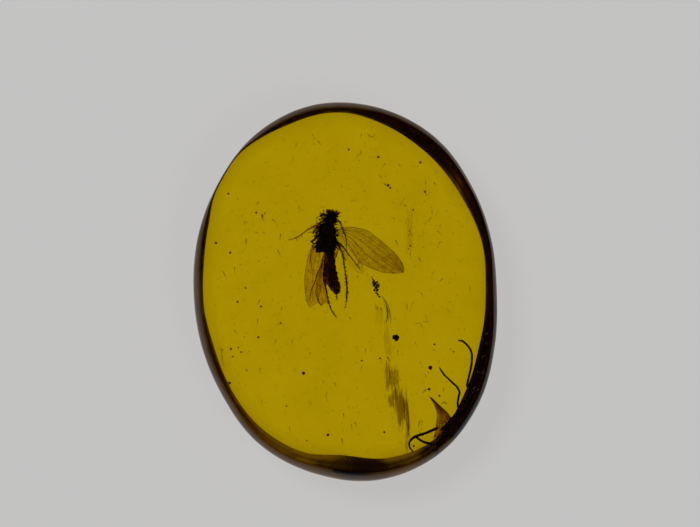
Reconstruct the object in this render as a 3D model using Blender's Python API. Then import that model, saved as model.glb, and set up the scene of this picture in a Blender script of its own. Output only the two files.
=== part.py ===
"""An insect in amber: a polished oval slab of clear amber lying on its flat face.

A small caddisfly with spread wings, part of a long-legged fly at the rim, a crumb of bark,
a string of droppings and a shred of plant fibre are sealed half way up the slab. The amber is
parted there into a lower and an upper piece, which leaves a pocket round each inclusion.

Lengths below are millimetres, and mesh points are turned to metres by MM. X is the short way
across the slab, Y the long way, towards the insect's head, and Z is up. The origin is on the
resting face, under the middle of the oval.
"""
import math

import bmesh
import bpy
from mathutils import Vector, geometry, noise

MM = 0.001

# The slab of amber.
STONE_WIDTH = 20.2
STONE_LENGTH = 25.2
STONE_THICKNESS = 4.2
MID_HEIGHT = STONE_THICKNESS / 2
GAP = 0.3
RIM_STEPS = 96
SMOOTH_ANGLE = math.radians(25)

# The oval's radius, by angle in degrees from +X.
OVAL_RADIUS = (
    (0, 10.09), (20, 10.35), (40, 11.00), (60, 11.93), (80, 12.49), (100, 12.65),
    (120, 12.09), (140, 11.15), (160, 10.49), (180, 10.13), (200, 10.23), (220, 10.71),
    (240, 11.61), (260, 12.24), (280, 12.69), (300, 12.44), (320, 11.57), (340, 10.59),
)
# The width of the ground bevel under the rim, by angle in degrees from +X.
BEVEL_WIDTH = (
    (0, 0.71), (20, 0.63), (40, 0.93), (60, 1.15), (74, 1.00), (90, 0.66), (108, 0.66),
    (121, 0.38), (132, 0.14), (143, 0.16), (153, 0.42), (167, 0.62), (184, 0.64), (202, 0.74),
    (222, 0.70), (242, 0.90), (258, 1.12), (270, 1.46), (284, 1.22), (300, 0.88), (320, 1.10),
    (336, 1.12), (350, 0.84),
)
BEVEL_LEAST = 0.12
BEVEL_RISE = 1.5
BEVEL_TOP = 1.85
# A ring part of the way up the bevel keeps it slightly rounded: its share of inset and height.
BEVEL_ROUNDING = (0.30, 0.55)
SHOULDER_WIDTH = 0.38
SHOULDER_LEAST = 0.10
SHOULDER_PER_BEVEL = 0.5
SHOULDER_HEIGHT = 0.55
# The shoulder's rounding, from the upright side to the top face: the share of its width drawn
# in, and the share of its height still to climb.
SHOULDER_ROUNDING = ((0.0, None), (0.12, 1.0), (0.30, 0.45), (0.58, 0.16), (1.0, 0.0))

# Room left round an inclusion in its pocket, to the side and above and below.
POCKET_SIDE = 0.32
POCKET_ROOM = 0.34
POCKET_CORNERS = 8
POCKET_LEAST_EDGE = 0.25

# The caddisfly's body along its length: x, y, half width, half height.
BODY = (
    (-0.96, 5.26, 0.12, 0.10), (-0.93, 5.05, 0.33, 0.26), (-0.98, 4.76, 0.39, 0.31),
    (-1.02, 4.50, 0.37, 0.31), (-1.15, 4.22, 0.60, 0.41), (-1.22, 3.86, 0.68, 0.45),
    (-1.20, 3.45, 0.66, 0.43), (-1.12, 3.05, 0.53, 0.38), (-1.05, 2.60, 0.39, 0.32),
    (-1.02, 2.05, 0.43, 0.33), (-0.96, 1.52, 0.51, 0.36), (-0.88, 0.98, 0.57, 0.37),
    (-0.74, 0.52, 0.46, 0.33), (-0.61, 0.14, 0.32, 0.26), (-0.56, -0.08, 0.16, 0.15),
    (-0.56, -0.24, 0.05, 0.05), (-0.56, -0.58, 0.04, 0.04),
)
# Limbs: the points they pass, then their radius at the root and at the tip.
LIMBS = {
    "antenna_left": (((-1.00, 4.78), (-1.68, 4.62), (-2.02, 4.40), (-2.43, 4.16), (-2.91, 3.76),
                      (-3.38, 3.52), (-3.78, 3.44)), 0.055, 0.025),
    "antenna_right": (((-0.90, 4.86), (-0.32, 4.60), (-0.15, 4.13), (0.05, 3.65), (0.08, 3.12),
                       (0.07, 2.65)), 0.055, 0.025),
    "palp_left": (((-1.05, 4.90), (-1.48, 4.88), (-1.65, 5.08), (-1.42, 5.24)), 0.09, 0.08),
    "palp_right": (((-0.90, 5.00), (-0.58, 5.12), (-0.42, 4.92), (-0.48, 4.68)), 0.08, 0.06),
    "foreleg_left": (((-1.30, 4.26), (-1.88, 4.36), (-2.10, 4.12), (-2.24, 3.85)), 0.08, 0.035),
    "coxae_left": (((-1.20, 3.20), (-1.50, 3.06), (-1.70, 2.94)), 0.34, 0.27),
    "midleg_left": (((-1.30, 3.86), (-1.88, 3.64), (-2.06, 3.40), (-2.30, 3.33)), 0.10, 0.05),
    "midleg_right": (((-1.10, 3.85), (-0.40, 3.10), (0.05, 2.52), (0.63, 1.96), (0.98, 1.58)),
                     0.08, 0.03),
    "hindleg_left": (((-1.05, 1.90), (-1.36, 1.30), (-1.38, 0.78), (-1.30, 0.18), (-1.13, -0.52),
                      (-0.93, -1.12), (-0.56, -1.75)), 0.10, 0.03),
    "hindleg_right": (((-1.05, 3.62), (-0.45, 3.18), (-0.22, 2.65), (-0.13, 2.12), (-0.08, 1.45),
                       (0.00, 0.68), (0.06, -0.15), (0.04, -1.05)), 0.09, 0.03),
}
# Heights of the limbs over or under the slab's middle, at the root and at the tip.
LIMB_HEIGHTS = {
    "antenna_left": (0.10, 0.26), "antenna_right": (0.12, 0.30), "palp_left": (0.02, 0.06),
    "palp_right": (0.04, 0.10), "foreleg_left": (-0.12, -0.24), "coxae_left": (-0.08, -0.10),
    "midleg_left": (-0.10, -0.16), "midleg_right": (-0.20, -0.36),
    "hindleg_left": (-0.14, -0.34), "hindleg_right": (-0.24, -0.32),
}
# Wings: the outline, the height of its root and how much its tip is raised.
WINGS = {
    "forewing_right": (((-1.00, 4.05), (-0.10, 4.32), (0.65, 4.25), (1.40, 4.03), (2.07, 3.62),
                        (2.65, 3.16), (3.24, 2.62), (3.68, 2.05), (3.87, 1.58), (3.78, 1.27),
                        (3.18, 1.21), (2.48, 1.32), (1.65, 1.62), (1.05, 1.95), (0.65, 2.45),
                        (0.32, 2.95), (-0.08, 3.40), (-1.00, 3.75)), 0.20, 0.22),
    "hindwing_right": (((-1.05, 3.72), (-0.15, 3.42), (0.38, 2.95), (0.85, 2.36), (1.18, 1.76),
                        (1.36, 1.22), (0.98, 1.14), (0.32, 1.60), (-0.22, 2.26),
                        (-1.05, 3.20)), 0.02, -0.12),
    "forewing_left": (((-1.30, 3.95), (-2.06, 3.20), (-2.39, 2.53), (-2.64, 1.45), (-2.68, 0.45),
                       (-2.64, -0.38), (-2.50, -0.90), (-2.30, -1.05), (-2.08, -0.74),
                       (-1.95, 0.25), (-1.68, 1.32), (-1.40, 2.25), (-1.15, 3.30)), 0.14, 0.22),
    "hindwing_left": (((-1.20, 3.30), (-1.68, 1.98), (-1.92, 1.12), (-1.98, 0.32),
                       (-1.85, -0.48), (-1.58, -1.08), (-1.30, -0.78), (-1.17, -0.02),
                       (-1.20, 1.12), (-1.05, 2.60)), -0.02, -0.18),
}
WING_THICKNESS = 0.07
LUMP_FREQUENCY = 3.1
INSECT_LUMPS = 0.05
BODY_SIDES = 12
LIMB_SIDES = 6
PATH_STEPS = 2

# The long-legged fly at the lower right rim.
FLY_BODY = (
    (8.22, -7.02, 0.06, 0.06), (8.10, -7.30, 0.20, 0.18), (7.82, -7.72, 0.26, 0.24),
    (7.52, -8.10, 0.22, 0.20), (7.10, -8.56, 0.20, 0.18), (6.66, -8.98, 0.17, 0.15),
    (6.30, -9.24, 0.06, 0.06),
)
FLY_LEGS = (
    (((7.95, -7.50), (8.40, -6.95), (8.40, -6.70), (8.18, -6.40), (8.13, -6.14), (8.30, -5.42),
      (8.44, -4.53), (8.42, -4.04), (8.05, -3.48), (7.75, -3.26), (7.44, -3.22)), 0.10, 0.20),
    (((7.60, -7.95), (7.55, -7.44), (7.61, -6.79), (7.45, -6.38), (7.08, -5.94), (6.52, -5.42),
      (6.28, -5.02)), -0.08, -0.14),
    (((6.95, -8.72), (6.12, -9.08), (5.30, -9.42), (4.65, -9.62), (4.35, -9.82), (4.25, -10.10),
      (4.50, -10.67)), 0.06, 0.12),
    (((6.60, -8.98), (6.30, -9.80), (5.78, -10.04), (5.14, -9.94), (4.62, -9.62)), -0.06, 0.04),
)
FLY_LEG_ROOT = 0.075
FLY_LEG_TIP = 0.045
FLY_WING = (
    (7.45, -8.20), (6.76, -7.92), (6.18, -7.35), (5.71, -6.95), (5.85, -7.55), (5.78, -8.15),
    (5.38, -8.68), (5.25, -9.12), (6.05, -9.16), (6.90, -8.80),
)
FLY_WING_HEIGHT = -0.02
FLY_WING_LIFT = 0.1
FLY_LUMPS = 0.03
FLY_SIDES = 10

# Small inclusions: a string of droppings, a crumb of bark and a shred of plant fibre.
DROPPINGS = (
    (1.77, 0.90, 0.12), (1.85, 0.75, 0.13), (1.94, 0.57, 0.17), (2.09, 0.40, 0.20),
    (1.97, 0.20, 0.18), (2.10, 0.02, 0.14), (2.20, -0.14, 0.12),
)
CRUMB_PLACE = (3.35, -3.05)
CRUMB_RADIUS = 0.24
CRUMB_SEED = 9.0
CRUMB_FACETS = 2
DROPPING_FACETS = 1
LUMP_SIZE = 0.30
LUMP_SPREAD = 4.0
FIBRE_STRAND = ((2.62, -0.56), (2.80, -1.08), (2.86, -1.62), (2.74, -2.13), (2.68, -2.90),
                (2.70, -3.70))
FIBRE_SHRED = (
    (2.60, -3.40), (2.62, -4.68), (2.64, -5.55), (2.76, -6.40), (2.98, -6.22), (3.18, -6.80),
    (3.32, -7.40), (3.45, -8.08), (3.64, -8.82), (3.86, -9.42), (4.22, -9.38), (4.18, -8.42),
    (3.92, -7.35), (3.52, -6.42), (3.45, -5.62), (3.05, -4.95), (2.86, -4.02),
)
FIBRE_THICKNESS = 0.08
STRAND_HEIGHTS = (0.10, 0.0)
STRAND_ROOT = 0.05
STRAND_TIP = 0.09

# Points closer than this are joined after the solids are fused.
JOIN_DISTANCE = 0.003

AMBER_YELLOW = (0.72, 0.45, 0.02, 1.0)
INSECT_BROWN = (0.030, 0.016, 0.006, 1.0)
FLY_BROWN = (0.045, 0.022, 0.008, 1.0)
DROPPING_BROWN = (0.040, 0.022, 0.008, 1.0)
CRUMB_BROWN = (0.020, 0.012, 0.005, 1.0)
FIBRE_TAN = (0.200, 0.120, 0.020, 1.0)
AMBER_IOR = 1.54


def clear_scene():
    for obj in list(bpy.data.objects):
        bpy.data.objects.remove(obj, do_unlink=True)


def hermite(before, start, end, after, t):
    """The value at t, 0 to 1, on the smooth curve from start to end."""
    slope_in = (end - before) / 2
    slope_out = (after - start) / 2
    return (
        start * (2 * t ** 3 - 3 * t ** 2 + 1) + slope_in * (t ** 3 - 2 * t ** 2 + t)
        + end * (3 * t ** 2 - 2 * t ** 3) + slope_out * (t ** 3 - t ** 2)
    )


def round_value(knots, angle):
    """A smooth periodic value at an angle in degrees, from (angle, value) knots."""
    count = len(knots)
    for index in range(count):
        start_angle, start = knots[index]
        end_angle, end = knots[(index + 1) % count]
        span = (end_angle - start_angle) % 360
        offset = (angle - start_angle) % 360
        if offset < span:
            before = knots[index - 1][1]
            after = knots[(index + 2) % count][1]
            return hermite(before, start, end, after, offset / span)
    return knots[0][1]


def smooth_path(points, steps):
    """Points on a smooth open curve through the given ones, with steps to each stretch."""
    last = len(points) - 1
    path = []
    for index in range(last):
        before = points[max(index - 1, 0)]
        after = points[min(index + 2, last)]
        for step in range(steps):
            path.append(hermite(before, points[index], points[index + 1], after, step / steps))
    path.append(points[last])
    return path


def oval_rings():
    """The rim's angle, outline point and bevel width at each step, centred on the origin."""
    raw = []
    for step in range(RIM_STEPS):
        angle = 360 * step / RIM_STEPS
        radius = round_value(OVAL_RADIUS, angle)
        turn = math.radians(angle)
        raw.append((Vector((radius * math.cos(turn), radius * math.sin(turn))), angle))
    low = Vector((min(p.x for p, _ in raw), min(p.y for p, _ in raw)))
    high = Vector((max(p.x for p, _ in raw), max(p.y for p, _ in raw)))
    middle = (low + high) / 2
    scale = Vector((STONE_WIDTH / (high.x - low.x), STONE_LENGTH / (high.y - low.y)))
    return [
        (Vector(((p.x - middle.x) * scale.x, (p.y - middle.y) * scale.y)),
         max(BEVEL_LEAST, round_value(BEVEL_WIDTH, angle)))
        for p, angle in raw
    ]


def rim_ring(bm, rim, inset_and_height):
    """One closed ring of vertices, drawn in from the rim and raised as the function says."""
    ring = []
    for point, bevel in rim:
        inset, height = inset_and_height(bevel)
        length = point.length
        place = point * ((length - inset) / length)
        ring.append(bm.verts.new((place.x * MM, place.y * MM, height * MM)))
    return ring


def bridge(bm, lower, upper):
    """Faces between two rings with as many vertices, facing out when upper is above."""
    count = len(lower)
    for index in range(count):
        following = (index + 1) % count
        bm.faces.new((lower[index], lower[following], upper[following], upper[index]))


def bevel_top(bevel):
    """Height at which the bevel meets the upright rim."""
    return min(BEVEL_RISE * bevel, BEVEL_TOP)


def shoulder(bevel):
    """Width of the rounded edge round the top face."""
    return min(SHOULDER_WIDTH, SHOULDER_LEAST + SHOULDER_PER_BEVEL * bevel)


def shade(mesh):
    """Smooth shading, with the edges of the flat faces kept sharp."""
    mesh.shade_smooth()
    mesh.set_sharp_from_angle(angle=SMOOTH_ANGLE)


def new_object(name, bm, material):
    mesh = bpy.data.meshes.new(name)
    bm.to_mesh(mesh)
    bm.free()
    shade(mesh)
    obj = bpy.data.objects.new(name, mesh)
    bpy.context.collection.objects.link(obj)
    if material is not None:
        mesh.materials.append(material)
    return obj


def rim_solid(name, rim, rings, material):
    """A closed solid lofted through rings round the rim, lowest first."""
    bm = bmesh.new()
    loops = [rim_ring(bm, rim, rule) for rule in rings]
    for lower, upper in zip(loops, loops[1:]):
        bridge(bm, lower, upper)
    bm.faces.new(list(reversed(loops[0])))
    bm.faces.new(loops[-1])
    bmesh.ops.triangulate(bm, faces=[f for f in bm.faces if len(f.verts) > 4])
    return new_object(name, bm, material)


def amber_halves(material):
    """The lower and the upper piece of the slab, parted at its middle height."""
    rim = oval_rings()
    parting_low = MID_HEIGHT - GAP / 2
    parting_high = MID_HEIGHT + GAP / 2
    inset_share, height_share = BEVEL_ROUNDING

    def shoulder_rule(inset, left):
        if left is None:
            return lambda bevel: (0.0, parting_high)
        return lambda bevel: (inset * shoulder(bevel), STONE_THICKNESS - left * SHOULDER_HEIGHT)

    lower = rim_solid("amber_lower", rim, (
        lambda bevel: (bevel, 0.0),
        lambda bevel: (inset_share * bevel, height_share * bevel_top(bevel)),
        lambda bevel: (0.0, bevel_top(bevel)),
        lambda bevel: (0.0, parting_low),
    ), material)
    upper_rings = [shoulder_rule(inset, left) for inset, left in SHOULDER_ROUNDING]
    upper = rim_solid("amber_upper", rim, upper_rings, material)
    return lower, upper


def ring_tube(bm, path, sides):
    """A closed tube along path, whose points are vectors of x, y, z, half width, half height."""
    centres = [Vector(p[:3]) for p in path]
    rings = []
    for index, values in enumerate(path):
        ahead = centres[min(index + 1, len(path) - 1)]
        behind = centres[max(index - 1, 0)]
        along = (ahead - behind).normalized()
        side = along.cross(Vector((0, 0, 1))).normalized()
        rise = side.cross(along).normalized()
        ring = []
        for step in range(sides):
            turn = 2 * math.pi * (step + 0.5) / sides
            place = (centres[index] + side * (values[3] * math.cos(turn))
                     + rise * (values[4] * math.sin(turn)))
            ring.append(bm.verts.new(place * MM))
        rings.append(ring)
    for ring, following in zip(rings, rings[1:]):
        bridge(bm, ring, following)
    bm.faces.new(list(reversed(rings[0])))
    bm.faces.new(rings[-1])
    bmesh.ops.recalc_face_normals(bm, faces=bm.faces)


def body_solid(name, stations, sides, material, lumps):
    """A body lofted along stations of x, y, half width and half height, with uneven sides."""
    points = [Vector((x, y, MID_HEIGHT, w, h)) for x, y, w, h in stations]
    path = smooth_path(points, PATH_STEPS)
    bm = bmesh.new()
    ring_tube(bm, path, sides)
    bm.normal_update()
    lifts = [noise.noise(vert.co / MM * LUMP_FREQUENCY) * lumps * MM for vert in bm.verts]
    places = [vert.co + vert.normal * lift for vert, lift in zip(bm.verts, lifts)]
    for vert, place in zip(bm.verts, places):
        vert.co = place
    return new_object(name, bm, material)


def limb_solid(name, places, heights, root, tip):
    """A tapering limb through places, which climbs from the first height to the second."""
    last = len(places) - 1
    points = []
    for index, (x, y) in enumerate(places):
        share = index / last
        radius = root + (tip - root) * share
        height = MID_HEIGHT + heights[0] + (heights[1] - heights[0]) * share
        points.append(Vector((x, y, height, radius, radius)))
    bm = bmesh.new()
    ring_tube(bm, smooth_path(points, PATH_STEPS), LIMB_SIDES)
    return new_object(name, bm, None)


def plate_solid(name, outline, height, lift, thickness, material):
    """A thin flat plate over an outline, tilted up by lift from its first point to its far end."""
    root = Vector(outline[0])
    reach = max((Vector(p) - root).length for p in outline)
    direction = max((Vector(p) - root for p in outline), key=lambda v: v.length).normalized()
    bm = bmesh.new()
    verts = []
    for x, y in outline:
        share = (Vector((x, y)) - root).dot(direction) / reach
        level = MID_HEIGHT + height + lift * share - thickness / 2
        verts.append(bm.verts.new((x * MM, y * MM, level * MM)))
    base = bm.faces.new(verts)
    raised = bmesh.ops.extrude_face_region(bm, geom=[base])
    moved = [item for item in raised["geom"] if isinstance(item, bmesh.types.BMVert)]
    bmesh.ops.translate(bm, verts=moved, vec=(0, 0, thickness * MM))
    bmesh.ops.triangulate(bm, faces=[f for f in bm.faces if len(f.verts) > 4])
    bmesh.ops.recalc_face_normals(bm, faces=bm.faces)
    return new_object(name, bm, material)


def lump_solid(name, x, y, radius, seed, facets, material):
    """An uneven little lump."""
    bm = bmesh.new()
    bmesh.ops.create_icosphere(bm, subdivisions=facets, radius=radius * MM)
    for vert in bm.verts:
        place = vert.co / MM * LUMP_SPREAD + Vector((seed, 0, 0))
        vert.co *= 1.0 + LUMP_SIZE * noise.noise(place)
        vert.co += Vector((x, y, MID_HEIGHT)) * MM
    return new_object(name, bm, material)


def fuse(target, others):
    """Joins the other solids to the target, and removes them."""
    bpy.context.view_layer.objects.active = target
    for other in others:
        modifier = target.modifiers.new("join", "BOOLEAN")
        modifier.operation = "UNION"
        modifier.object = other
        bpy.ops.object.modifier_apply(modifier=modifier.name)
        bpy.data.objects.remove(other, do_unlink=True)
    bm = bmesh.new()
    bm.from_mesh(target.data)
    bmesh.ops.triangulate(bm, faces=bm.faces)
    bmesh.ops.remove_doubles(bm, verts=bm.verts, dist=JOIN_DISTANCE * MM)
    bmesh.ops.dissolve_degenerate(bm, edges=bm.edges, dist=JOIN_DISTANCE * MM)
    bmesh.ops.triangulate(bm, faces=bm.faces)
    bm.to_mesh(target.data)
    bm.free()
    shade(target.data)
    return target


def caddisfly(material):
    """The insect: body, head, four wings, antennae, palps and legs, grown together."""
    body = body_solid("caddisfly", BODY, BODY_SIDES, material, INSECT_LUMPS)
    limbs = [
        limb_solid(name, places, LIMB_HEIGHTS[name], root, tip)
        for name, (places, root, tip) in LIMBS.items()
    ]
    wings = [
        plate_solid(name, outline, height, lift, WING_THICKNESS, None)
        for name, (outline, height, lift) in WINGS.items()
    ]
    return fuse(body, wings + limbs)


def long_legged_fly(material):
    """The fly at the rim: a slim body, four long legs and a crumpled wing, grown together."""
    body = body_solid("long_legged_fly", FLY_BODY, FLY_SIDES, material, FLY_LUMPS)
    limbs = [
        limb_solid("fly_leg", places, (low, high), FLY_LEG_ROOT, FLY_LEG_TIP)
        for places, low, high in FLY_LEGS
    ]
    wing = plate_solid("fly_wing", FLY_WING, FLY_WING_HEIGHT, FLY_WING_LIFT,
                       WING_THICKNESS, None)
    return fuse(body, [wing] + limbs)


def droppings(material):
    """A string of small lumps that stick together."""
    lumps = [
        lump_solid("droppings", x, y, radius, index, DROPPING_FACETS,
                   material if index == 0 else None)
        for index, (x, y, radius) in enumerate(DROPPINGS)
    ]
    return fuse(lumps[0], lumps[1:])


def fibre_shred(material):
    """A torn strip of plant fibre, with a curved strand at its upper end."""
    strip = plate_solid("fibre_shred", FIBRE_SHRED, 0.0, 0.0, FIBRE_THICKNESS, material)
    strand = limb_solid("strand", FIBRE_STRAND, STRAND_HEIGHTS, STRAND_ROOT, STRAND_TIP)
    return fuse(strip, [strand])


def pocket_cutter(inclusion):
    """A flat-sided block round an inclusion, with the pocket's room on every side."""
    flat = [Vector((v.co.x, v.co.y)) / MM for v in inclusion.data.vertices]
    low = min(v.co.z for v in inclusion.data.vertices) / MM - POCKET_ROOM
    high = max(v.co.z for v in inclusion.data.vertices) / MM + POCKET_ROOM
    reach = POCKET_SIDE / math.cos(math.pi / POCKET_CORNERS)
    spread = []
    for point in flat:
        for step in range(POCKET_CORNERS):
            turn = 2 * math.pi * (step + 0.5) / POCKET_CORNERS
            spread.append(point + Vector((math.cos(turn), math.sin(turn))) * reach)
    hull = [spread[index] for index in geometry.convex_hull_2d(spread)]
    kept = [hull[0]]
    for point in hull[1:]:
        nearest = min((point - kept[-1]).length, (point - kept[0]).length)
        if nearest > POCKET_LEAST_EDGE:
            kept.append(point)
    bm = bmesh.new()
    base = bm.faces.new([bm.verts.new((p.x * MM, p.y * MM, low * MM)) for p in kept])
    raised = bmesh.ops.extrude_face_region(bm, geom=[base])
    moved = [item for item in raised["geom"] if isinstance(item, bmesh.types.BMVert)]
    bmesh.ops.translate(bm, verts=moved, vec=(0, 0, (high - low) * MM))
    bmesh.ops.recalc_face_normals(bm, faces=bm.faces)
    cutter = new_object("pocket_" + inclusion.name, bm, None)
    cutter.hide_render = True
    cutter.display_type = "WIRE"
    return cutter


def cut_pockets(halves, inclusions):
    cutters = [pocket_cutter(inclusion) for inclusion in inclusions]
    for half in halves:
        for cutter in cutters:
            modifier = half.modifiers.new(cutter.name, "BOOLEAN")
            modifier.operation = "DIFFERENCE"
            modifier.object = cutter


def principled(name, colour, roughness, see_through=0.0):
    material = bpy.data.materials.new(name)
    material.use_nodes = True
    shader = material.node_tree.nodes["Principled BSDF"]
    shader.inputs["Base Color"].default_value = colour
    shader.inputs["Roughness"].default_value = roughness
    shader.inputs["Metallic"].default_value = 0.0
    shader.inputs["Transmission Weight"].default_value = see_through
    shader.inputs["IOR"].default_value = AMBER_IOR
    return material


def build():
    clear_scene()
    halves = amber_halves(principled("clear_amber", AMBER_YELLOW, 0.03, 1.0))
    inclusions = (
        caddisfly(principled("caddisfly_cuticle", INSECT_BROWN, 0.6)),
        long_legged_fly(principled("fly_cuticle", FLY_BROWN, 0.6)),
        droppings(principled("dropping_crust", DROPPING_BROWN, 0.9)),
        lump_solid("bark_crumb", *CRUMB_PLACE, CRUMB_RADIUS, CRUMB_SEED, CRUMB_FACETS,
                   principled("bark", CRUMB_BROWN, 0.9)),
        fibre_shred(principled("plant_fibre", FIBRE_TAN, 0.8)),
    )
    cut_pockets(halves, inclusions)


build()
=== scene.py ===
"""Insect in amber: the finish of a polished slab of amber and of what is sealed in it.

Every length in the tables below is in millimetres and is turned to metres by MM. X runs across
the slab, Y along it towards the insect's head and Z up; the origin is under its middle.
"""

import math

import bmesh
import bpy
import numpy as np
from mathutils import Matrix, Vector, noise


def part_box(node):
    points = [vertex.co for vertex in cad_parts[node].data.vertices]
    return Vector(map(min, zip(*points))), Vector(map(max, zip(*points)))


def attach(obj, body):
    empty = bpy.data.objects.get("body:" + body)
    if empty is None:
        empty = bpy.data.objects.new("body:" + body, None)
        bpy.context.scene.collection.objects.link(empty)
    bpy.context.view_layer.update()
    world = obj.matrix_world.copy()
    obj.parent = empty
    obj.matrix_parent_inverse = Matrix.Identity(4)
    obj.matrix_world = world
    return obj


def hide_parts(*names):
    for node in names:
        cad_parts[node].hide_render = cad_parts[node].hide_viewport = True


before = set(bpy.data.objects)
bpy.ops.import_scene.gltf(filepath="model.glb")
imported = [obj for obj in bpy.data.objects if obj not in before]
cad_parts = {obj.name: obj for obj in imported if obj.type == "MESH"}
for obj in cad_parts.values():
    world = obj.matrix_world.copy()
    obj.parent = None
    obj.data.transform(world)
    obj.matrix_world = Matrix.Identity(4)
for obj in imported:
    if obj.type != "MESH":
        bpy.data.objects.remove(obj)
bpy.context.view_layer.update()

bl_info = {
    "name": "Insect in amber",
    "version": (1, 0, 0),
    "blender": (4, 5, 0),
    "location": "View3D > Sidebar > Amber",
    "description": "Makes a polished slab of amber with a caddisfly and debris sealed in it",
    "category": "Object",
}

MM = 0.001
UP = Vector((0, 0, 1))
FULL_TURN = 2 * math.pi
BODY = "root"

# The slab's box, from the frame: the lower half gives its foot and the upper half its top.
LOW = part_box("amber_lower")[0]
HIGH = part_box("amber_upper")[1]
THICKNESS = (HIGH[2] - LOW[2]) / MM
MIDDLE = THICKNESS / 2

RESIN_IOR = 1.54
# What is sealed in resin bends light hardly more than the resin does.
SEALED_IOR = 1.02
# The share of light that passes the brown crust on the slab's rough sides.
CRUST_CLEAR = 0.35
# The noise on the parts: how fast its finer octaves weaken, how much finer each is, and their
# number. Then the same for the rim, the size of its grain and how fast it fades to the faces.
GRAIN = (0.6, 2.1, 3)
RIM_NOISE = (0.7, 2.0, 4)
RIM_GRAIN = 0.7
RIM_FADE = 0.4

# The narrowest bevel. The shoulder's turn in degrees, its height over its width, and its limit.
LEAST_BEVEL = 0.08
SHOULDER_REACH = 55
SHOULDER_STEEP = 1.7
SHOULDER_TALLEST = 1.35
# Faces whose normal's Z is beyond the first are flat, and below the second belong to the bevel.
FLAT_NORMAL = 0.9995
UNDERCUT_NORMAL = -0.12
# Edges between faces that meet at more than this stay sharp.
SHARP_EDGE = math.radians(20)

# Rings of the rim from the foot up. Foot: inset from the bevel's edge, painted shade.
FOOT_RINGS = ((0.90, 0.0), (0.50, 0.20), (0.20, 0.36), (0.0, 0.6))
# The painted glow of the foot rings, which the bevel's lowest faces take up.
FOOT_PAINTED_GLOW = 1.6
# Bevel: share of its width left, share of its height reached, painted glow.
BEVEL_RINGS = (
    (0.90, 0.079, 1.30), (0.76, 0.189, 0.70), (0.65, 0.275, 0.40), (0.54, 0.361, 0.75),
    (0.42, 0.456, 0.40), (0.30, 0.55, 0.12), (0.16, 0.72, 0.05), (0.06, 0.87, 0.0),
    (0.0, 1.0, 0.0),
)
# Wall: share of its height reached. Above it the shoulder turns in equal steps.
WALL_RINGS = (0.25, 0.5, 0.75)
SHOULDER_STEPS = 8

# The stage, in metres but for the floor's gap under the slab: the lights and how the room's
# light falls off from the horizon upwards.
FLOOR_GAP = 0.05
KEY_PLACE = (-0.13, 0.12, 0.30)
FILL_PLACE = (0.14, -0.10, 0.28)
LIGHT_SIZE = 0.12
ROOM_COLOUR = (0.97, 0.985, 1.0)
ROOM_HEIGHTS = (0.03, 0.26)
ROOM_STRENGTHS = (0.50, 0.012)

# The oval's radius and the width of the bevel under its rim, by angle in degrees from +X.
OVAL_RADIUS = (
    (0, 10.09), (20, 10.35), (40, 11.0), (60, 11.93), (80, 12.49), (100, 12.65), (120, 12.09),
    (140, 11.15), (160, 10.49), (180, 10.13), (200, 10.23), (220, 10.71), (240, 11.61),
    (260, 12.24), (280, 12.69), (300, 12.44), (320, 11.57), (340, 10.59),
)
BEVEL_WIDTH = (
    (0, 0.71), (20, 0.63), (40, 0.93), (60, 1.15), (74, 1.0), (90, 0.66), (108, 0.66), (120, 0.36),
    (128, 0.11), (136, 0.09), (144, 0.14), (153, 0.45), (167, 0.62), (186, 0.6), (202, 0.74),
    (222, 0.7), (242, 0.9), (256, 1.08), (270, 1.62), (284, 1.28), (300, 0.94), (320, 1.14),
    (336, 1.06), (350, 0.82),
)

# The width of the rounded shoulder round the top face.
SHOULDER_WIDTH = (
    (0, 0.26), (24, 0.16), (45, 0.19), (70, 0.31), (95, 0.4), (112, 0.37), (120, 0.25), (126, 0.1),
    (134, 0.07), (142, 0.08), (150, 0.2), (162, 0.4), (180, 0.53), (215, 0.48), (245, 0.46),
    (268, 0.64), (290, 0.48), (308, 0.32), (340, 0.24),
)
# Painted glow of the bevel seen through the slab, from a dark painted shade at 0 to an orange glow
# at 1; where it is higher the bevel is also rougher and lets more light through.
RIM_PAINTED_GLOW = (
    (0, 0.26), (12, 0.3), (22, 0.24), (34, 0.4), (44, 0.6), (54, 0.26), (70, 0.2), (90, 0.4),
    (115, 0.36), (133, 1.3), (150, 0.5), (180, 0.45), (212, 0.45), (236, 0.85), (254, 1.7),
    (262, 0.9), (271, 0.2), (281, 0.3), (290, 1.35), (298, 0.6), (307, 0.05), (332, 0.02),
)

# The caddisfly's body along its length: x, y, half width, half height.
HEAD_AND_THORAX = (
    (-0.97, 5.2, 0.05, 0.05), (-0.97, 5.1, 0.15, 0.13), (-0.98, 4.94, 0.23, 0.2),
    (-1.0, 4.78, 0.25, 0.22), (-1.03, 4.6, 0.23, 0.2), (-1.06, 4.46, 0.3, 0.25),
    (-1.12, 4.3, 0.45, 0.34), (-1.17, 4.05, 0.56, 0.41), (-1.2, 3.7, 0.58, 0.43),
    (-1.2, 3.35, 0.55, 0.41), (-1.1, 3.0, 0.47, 0.36), (-1.04, 2.7, 0.34, 0.3),
)
ABDOMEN = (
    (-1.04, 2.85, 0.3, 0.26), (-1.03, 2.5, 0.33, 0.29), (-1.04, 2.05, 0.37, 0.31),
    (-1.02, 1.52, 0.44, 0.33), (-0.94, 0.98, 0.47, 0.34), (-0.76, 0.5, 0.4, 0.31),
    (-0.62, 0.14, 0.28, 0.23), (-0.55, -0.16, 0.13, 0.12),
)
ABDOMEN_RINGS = 9

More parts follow.
